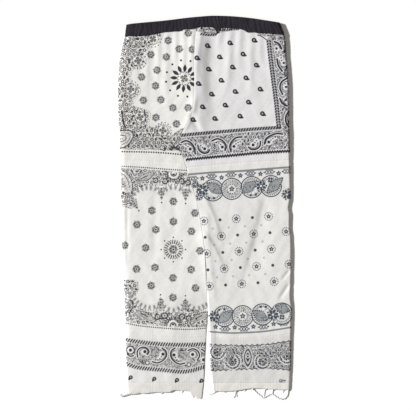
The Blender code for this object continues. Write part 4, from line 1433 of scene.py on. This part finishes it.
# The threads that hang from the raw hems: points on the surface and the radius at each end.
Strand = namedtuple("Strand", "points root_radius tip_radius")
STRANDS = {
    "left": (
        Strand(((-176, -513), (-192, -518), (-212, -521), (-233, -527), (-239, -524)), 5, 3.2),
        Strand(((-36, -522), (-33, -529), (-34, -534)), 1.3, 0.9),
        Strand(((-22, -526), (-21, -532), (-24, -534.5)), 1.3, 0.9),
        Strand(((-120, -513), (-122, -520), (-127, -522)), 1.3, 0.9),
        Strand(((-66, -509), (-64, -516), (-68, -519)), 1.3, 0.9),
    ),
    "right": (
        Strand(((34, -509), (30, -514), (22, -521), (11, -522.5)), 1.3, 1.1),
        Strand(((86, -507), (85, -518), (84, -526), (78, -534)), 2.3, 1.3),
        Strand(((88, -507), (87.5, -520), (89.5, -531)), 1.6, 1.1),
        Strand(((130, -502), (141, -515), (154, -526), (164, -534.5)), 2.3, 1.8),
        Strand(((171, -501), (167, -514), (166, -524), (165.6, -533)), 1.8, 1.3),
        Strand(((190, -503), (189.5, -514), (187.5, -522.5)), 2.2, 1.6),
        Strand(
            ((163, -534), (177, -525.5), (187, -522), (198, -529), (211, -535), (223, -534.5),
             (230.5, -526), (233, -512), (232, -503)),
            1.8, 2.2,
        ),
        Strand(((214, -504), (219, -513), (217, -519)), 1.3, 0.9),
        Strand(((56, -508), (54, -515), (57, -519)), 1.3, 0.9),
        Strand(((110, -503), (112, -511), (109, -515)), 1.3, 0.9),
    ),
}
HEM_WALL = 1.6
THREAD_FLOOR_GAP = 0.1
FIBRE_PITCH = 4.5
THREAD_FLATNESS = 0.3
FRAY_DEPTH = 0.5


def strand_height(leg, x, y):
    """From inside the hem strip down to the surface beyond its raw edge."""
    edge = raw_edge[leg](x)
    in_strip = back_height(x, np.maximum(y, edge)) - WALL + HEM_WALL / 2
    return in_strip * (1 - smooth_step(-2, 10, edge - y))


def tube(x, y, z, radius, sides):
    """The points and faces of a round thread through the points."""
    along_x, along_y = np.gradient(x), np.gradient(y)
    length = np.maximum(np.hypot(along_x, along_y), 1e-6)
    turn = np.linspace(0, 2 * math.pi, sides, endpoint=False)
    reach_x = -(along_y / length)[:, None] * np.cos(turn) * radius[:, None]
    reach_y = (along_x / length)[:, None] * np.cos(turn) * radius[:, None]
    reach_z = THREAD_FLATNESS * np.sin(turn) * radius[:, None]
    points = np.stack([x[:, None] + reach_x, y[:, None] + reach_y, z[:, None] + reach_z], axis=-1)
    rows = len(x)
    faces = []
    for i in range(rows - 1):
        for k in range(sides):
            after = (k + 1) % sides
            first, second = i * sides, (i + 1) * sides
            faces.append((first + k, first + after, second + after, second + k))
    faces.append(tuple(range(sides))[::-1])
    faces.append(tuple((rows - 1) * sides + k for k in range(sides)))
    return points.reshape(-1, 3), faces


def threads_mesh(name, tubes):
    points, faces = [], []
    for tube_points, tube_faces in tubes:
        start = sum(len(p) for p in points)
        points.append(tube_points)
        faces.extend(tuple(start + i for i in face) for face in tube_faces)
    mesh = bpy.data.meshes.new(name)
    mesh.from_pydata((np.vstack(points) * MM).tolist(), [], faces)
    mesh.shade_smooth()
    return mesh


def strand_tubes(leg, strand):
    """A thread, or for a thick one a bundle of three twisted together."""
    places = np.array([(x, y) for x, y, _ in route(strand.points, 1.5)])
    share = np.linspace(0, 1, len(places))
    radius = strand.root_radius * (1 - share) + strand.tip_radius * share
    x, y = places[:, 0], places[:, 1]
    z = np.maximum(0.7 * strand_height(leg, x, y), 1.1 * THREAD_FLATNESS * radius + THREAD_FLOOR_GAP)
    if strand.root_radius < 3:
        wander = 0.5 * radius * np.sin(np.arange(len(x)) * 1.1)
        return [tube(x, y + wander, z, radius, 6)]
    made = []
    for k in range(3):
        turn = np.arange(len(x)) * 0.55 + k * 2 * math.pi / 3
        made.append(tube(x, y + 0.5 * radius * np.cos(turn), z + 0.5 * THREAD_FLATNESS * radius * np.sin(turn),
                         0.55 * radius, 7))
    return made


def fibre_tubes(leg):
    """Short loose fibres all along the raw edge."""
    made = []
    left, right = LEGS[leg]
    begin, end = float(left(-512.0)) + 2, float(right(-512.0)) - 2
    for i in range(int((end - begin) / FIBRE_PITCH)):
        chance = [float(scatter(i, k, 77 if leg == "left" else 78)) for k in range(4)]
        x0 = begin + FIBRE_PITCH * (i + chance[0])
        y0 = float(frayed_edge(leg)(np.array(x0))) + 1.5
        heading = math.radians(-90 + 100 * (chance[1] - 0.5))
        length = 1.6 + 4.0 * chance[2] ** 2
        bend = (chance[3] - 0.5) * 2.2
        step = np.linspace(0, 1, 6)
        angle = heading + bend * step
        x = x0 + length * step * np.cos(angle)
        y = y0 + length * step * np.sin(angle)
        z = back_height(np.full(6, x0), np.full(6, y0)) - 0.2 - 1.6 * step**2
        z = np.maximum(z, 4 * THREAD_FLOOR_GAP)
        made.append(tube(x, y, z, 0.26 - 0.12 * step, 3))
    return made


def frayed_edge(leg):
    """The raw edge, uneven from yarn to yarn."""
    def evaluate(x):
        ragged = scatter(np.floor(x / 1.3), 1, 9) + scatter(np.floor(x / 4.1), 2, 9) - 1
        return raw_edge[leg](x) + FRAY_DEPTH * 0.5 * ragged
    return evaluate


def build_hems():
    for leg, (left, right) in LEGS.items():
        outline = Outline(left, right, frayed_edge(leg), level(HEM_LINE_Y))
        x, y, z = back_sheet(outline, (222, 26), True, True)
        mesh = grid_mesh(f"back_hem_{leg}_cloth", x, y, z, {})
        piece = add_piece(
            f"back_hem_{leg}_cloth", mesh, MATERIALS["raw"], [f"back_hem_{leg}"]
        )
        tubes = fibre_tubes(leg)
        for strand in STRANDS[leg]:
            tubes.extend(strand_tubes(leg, strand))
        mesh = threads_mesh(f"hem_{leg}_threads", tubes)
        add_piece(f"hem_{leg}_threads", mesh, MATERIALS["thread"], [])
        outline = Outline(left, right, level(HEM_LINE_Y - 14), level(HEM_LINE_Y))
        across, up = np.meshgrid(shares(222, UNDER_STEP), shares(14, UNDER_STEP))
        x, y = place_in(outline, across, up)
        y = y + np.where(up == 0, FRAY_DEPTH * (scatter(np.round(x), 3, 4) - 0.5), 0)
        z = FLOOR_LAYER_Z + 0 * x
        mesh = grid_mesh(f"front_hem_{leg}_cloth", x, y, z, {})
        piece = add_piece(
            f"front_hem_{leg}_cloth", mesh, MATERIALS["raw"], [f"front_hem_{leg}"]
        )


def build_materials():
    made = {key: cloth_material(f"{key}_print", cloth) for key, cloth in CLOTHS.items()}
    made["waistband"] = yarn_material(
        "waistband_black", (0.027, 0.023, 0.031, 1), (0.013, 0.011, 0.016, 1), (6, 1, 1), 0.0004
    )
    made["raw"] = yarn_material(
        "raw_cotton", (0.755, 0.745, 0.715, 1), (0.67, 0.655, 0.62, 1), (1, 5, 1), 0.0005
    )
    made["thread"] = yarn_material(
        "cotton_thread", (0.70, 0.69, 0.66, 1), (0.58, 0.57, 0.54, 1), (1, 1, 1), 0.0003
    )
    return made


FLOOR_SIZE = 80


def floor():
    """A plain white surface."""
    material, shader, add, links = new_material("floor_white")
    shader.inputs["Base Color"].default_value = (0.97, 0.97, 0.97, 1)
    shader.inputs["Roughness"].default_value = 1.0
    shader.inputs["Specular IOR Level"].default_value = 0.0
    bpy.ops.mesh.primitive_plane_add(size=FLOOR_SIZE)
    plane = bpy.context.object
    plane.name = "floor"
    plane.data.materials.append(material)


# The camera looks straight down: where it points, how wide it sees and from how far.
VIEW_CENTRE = (8.12, -0.56)
VIEW_WIDTH = 1164.8
LENS = 100.0
SENSOR = 36.0


def camera():
    data = bpy.data.cameras.new("camera")
    data.lens = LENS
    data.sensor_width = SENSOR
    obj = bpy.data.objects.new("camera", data)
    bpy.context.scene.collection.objects.link(obj)
    distance = VIEW_WIDTH * LENS / SENSOR
    obj.location = (VIEW_CENTRE[0] * MM, VIEW_CENTRE[1] * MM, (distance + 5) * MM)
    data.clip_end = 20
    bpy.context.scene.camera = obj


Sun = namedtuple("Sun", "name azimuth elevation strength spread")
SUNS = (Sun("key", -104, 20, 7.7, 4),)
SKY = 0.22


def lights():
    bpy.context.scene.view_settings.view_transform = "Standard"
    for sun in SUNS:
        data = bpy.data.lights.new(sun.name, "SUN")
        data.energy = sun.strength
        data.angle = math.radians(sun.spread)
        obj = bpy.data.objects.new(sun.name, data)
        bpy.context.scene.collection.objects.link(obj)
        obj.rotation_euler = (math.radians(90 - sun.elevation), 0, math.radians(sun.azimuth))
    world = bpy.data.worlds.new("studio")
    world.use_nodes = True
    world.node_tree.nodes["Background"].inputs["Color"].default_value = (1, 0.96, 0.90, 1)
    world.node_tree.nodes["Background"].inputs["Strength"].default_value = SKY
    bpy.context.scene.world = world


MATERIALS = build_materials()
build_panels()
waistband_back()
waistband_front()
build_hems()
floor()
camera()
lights()
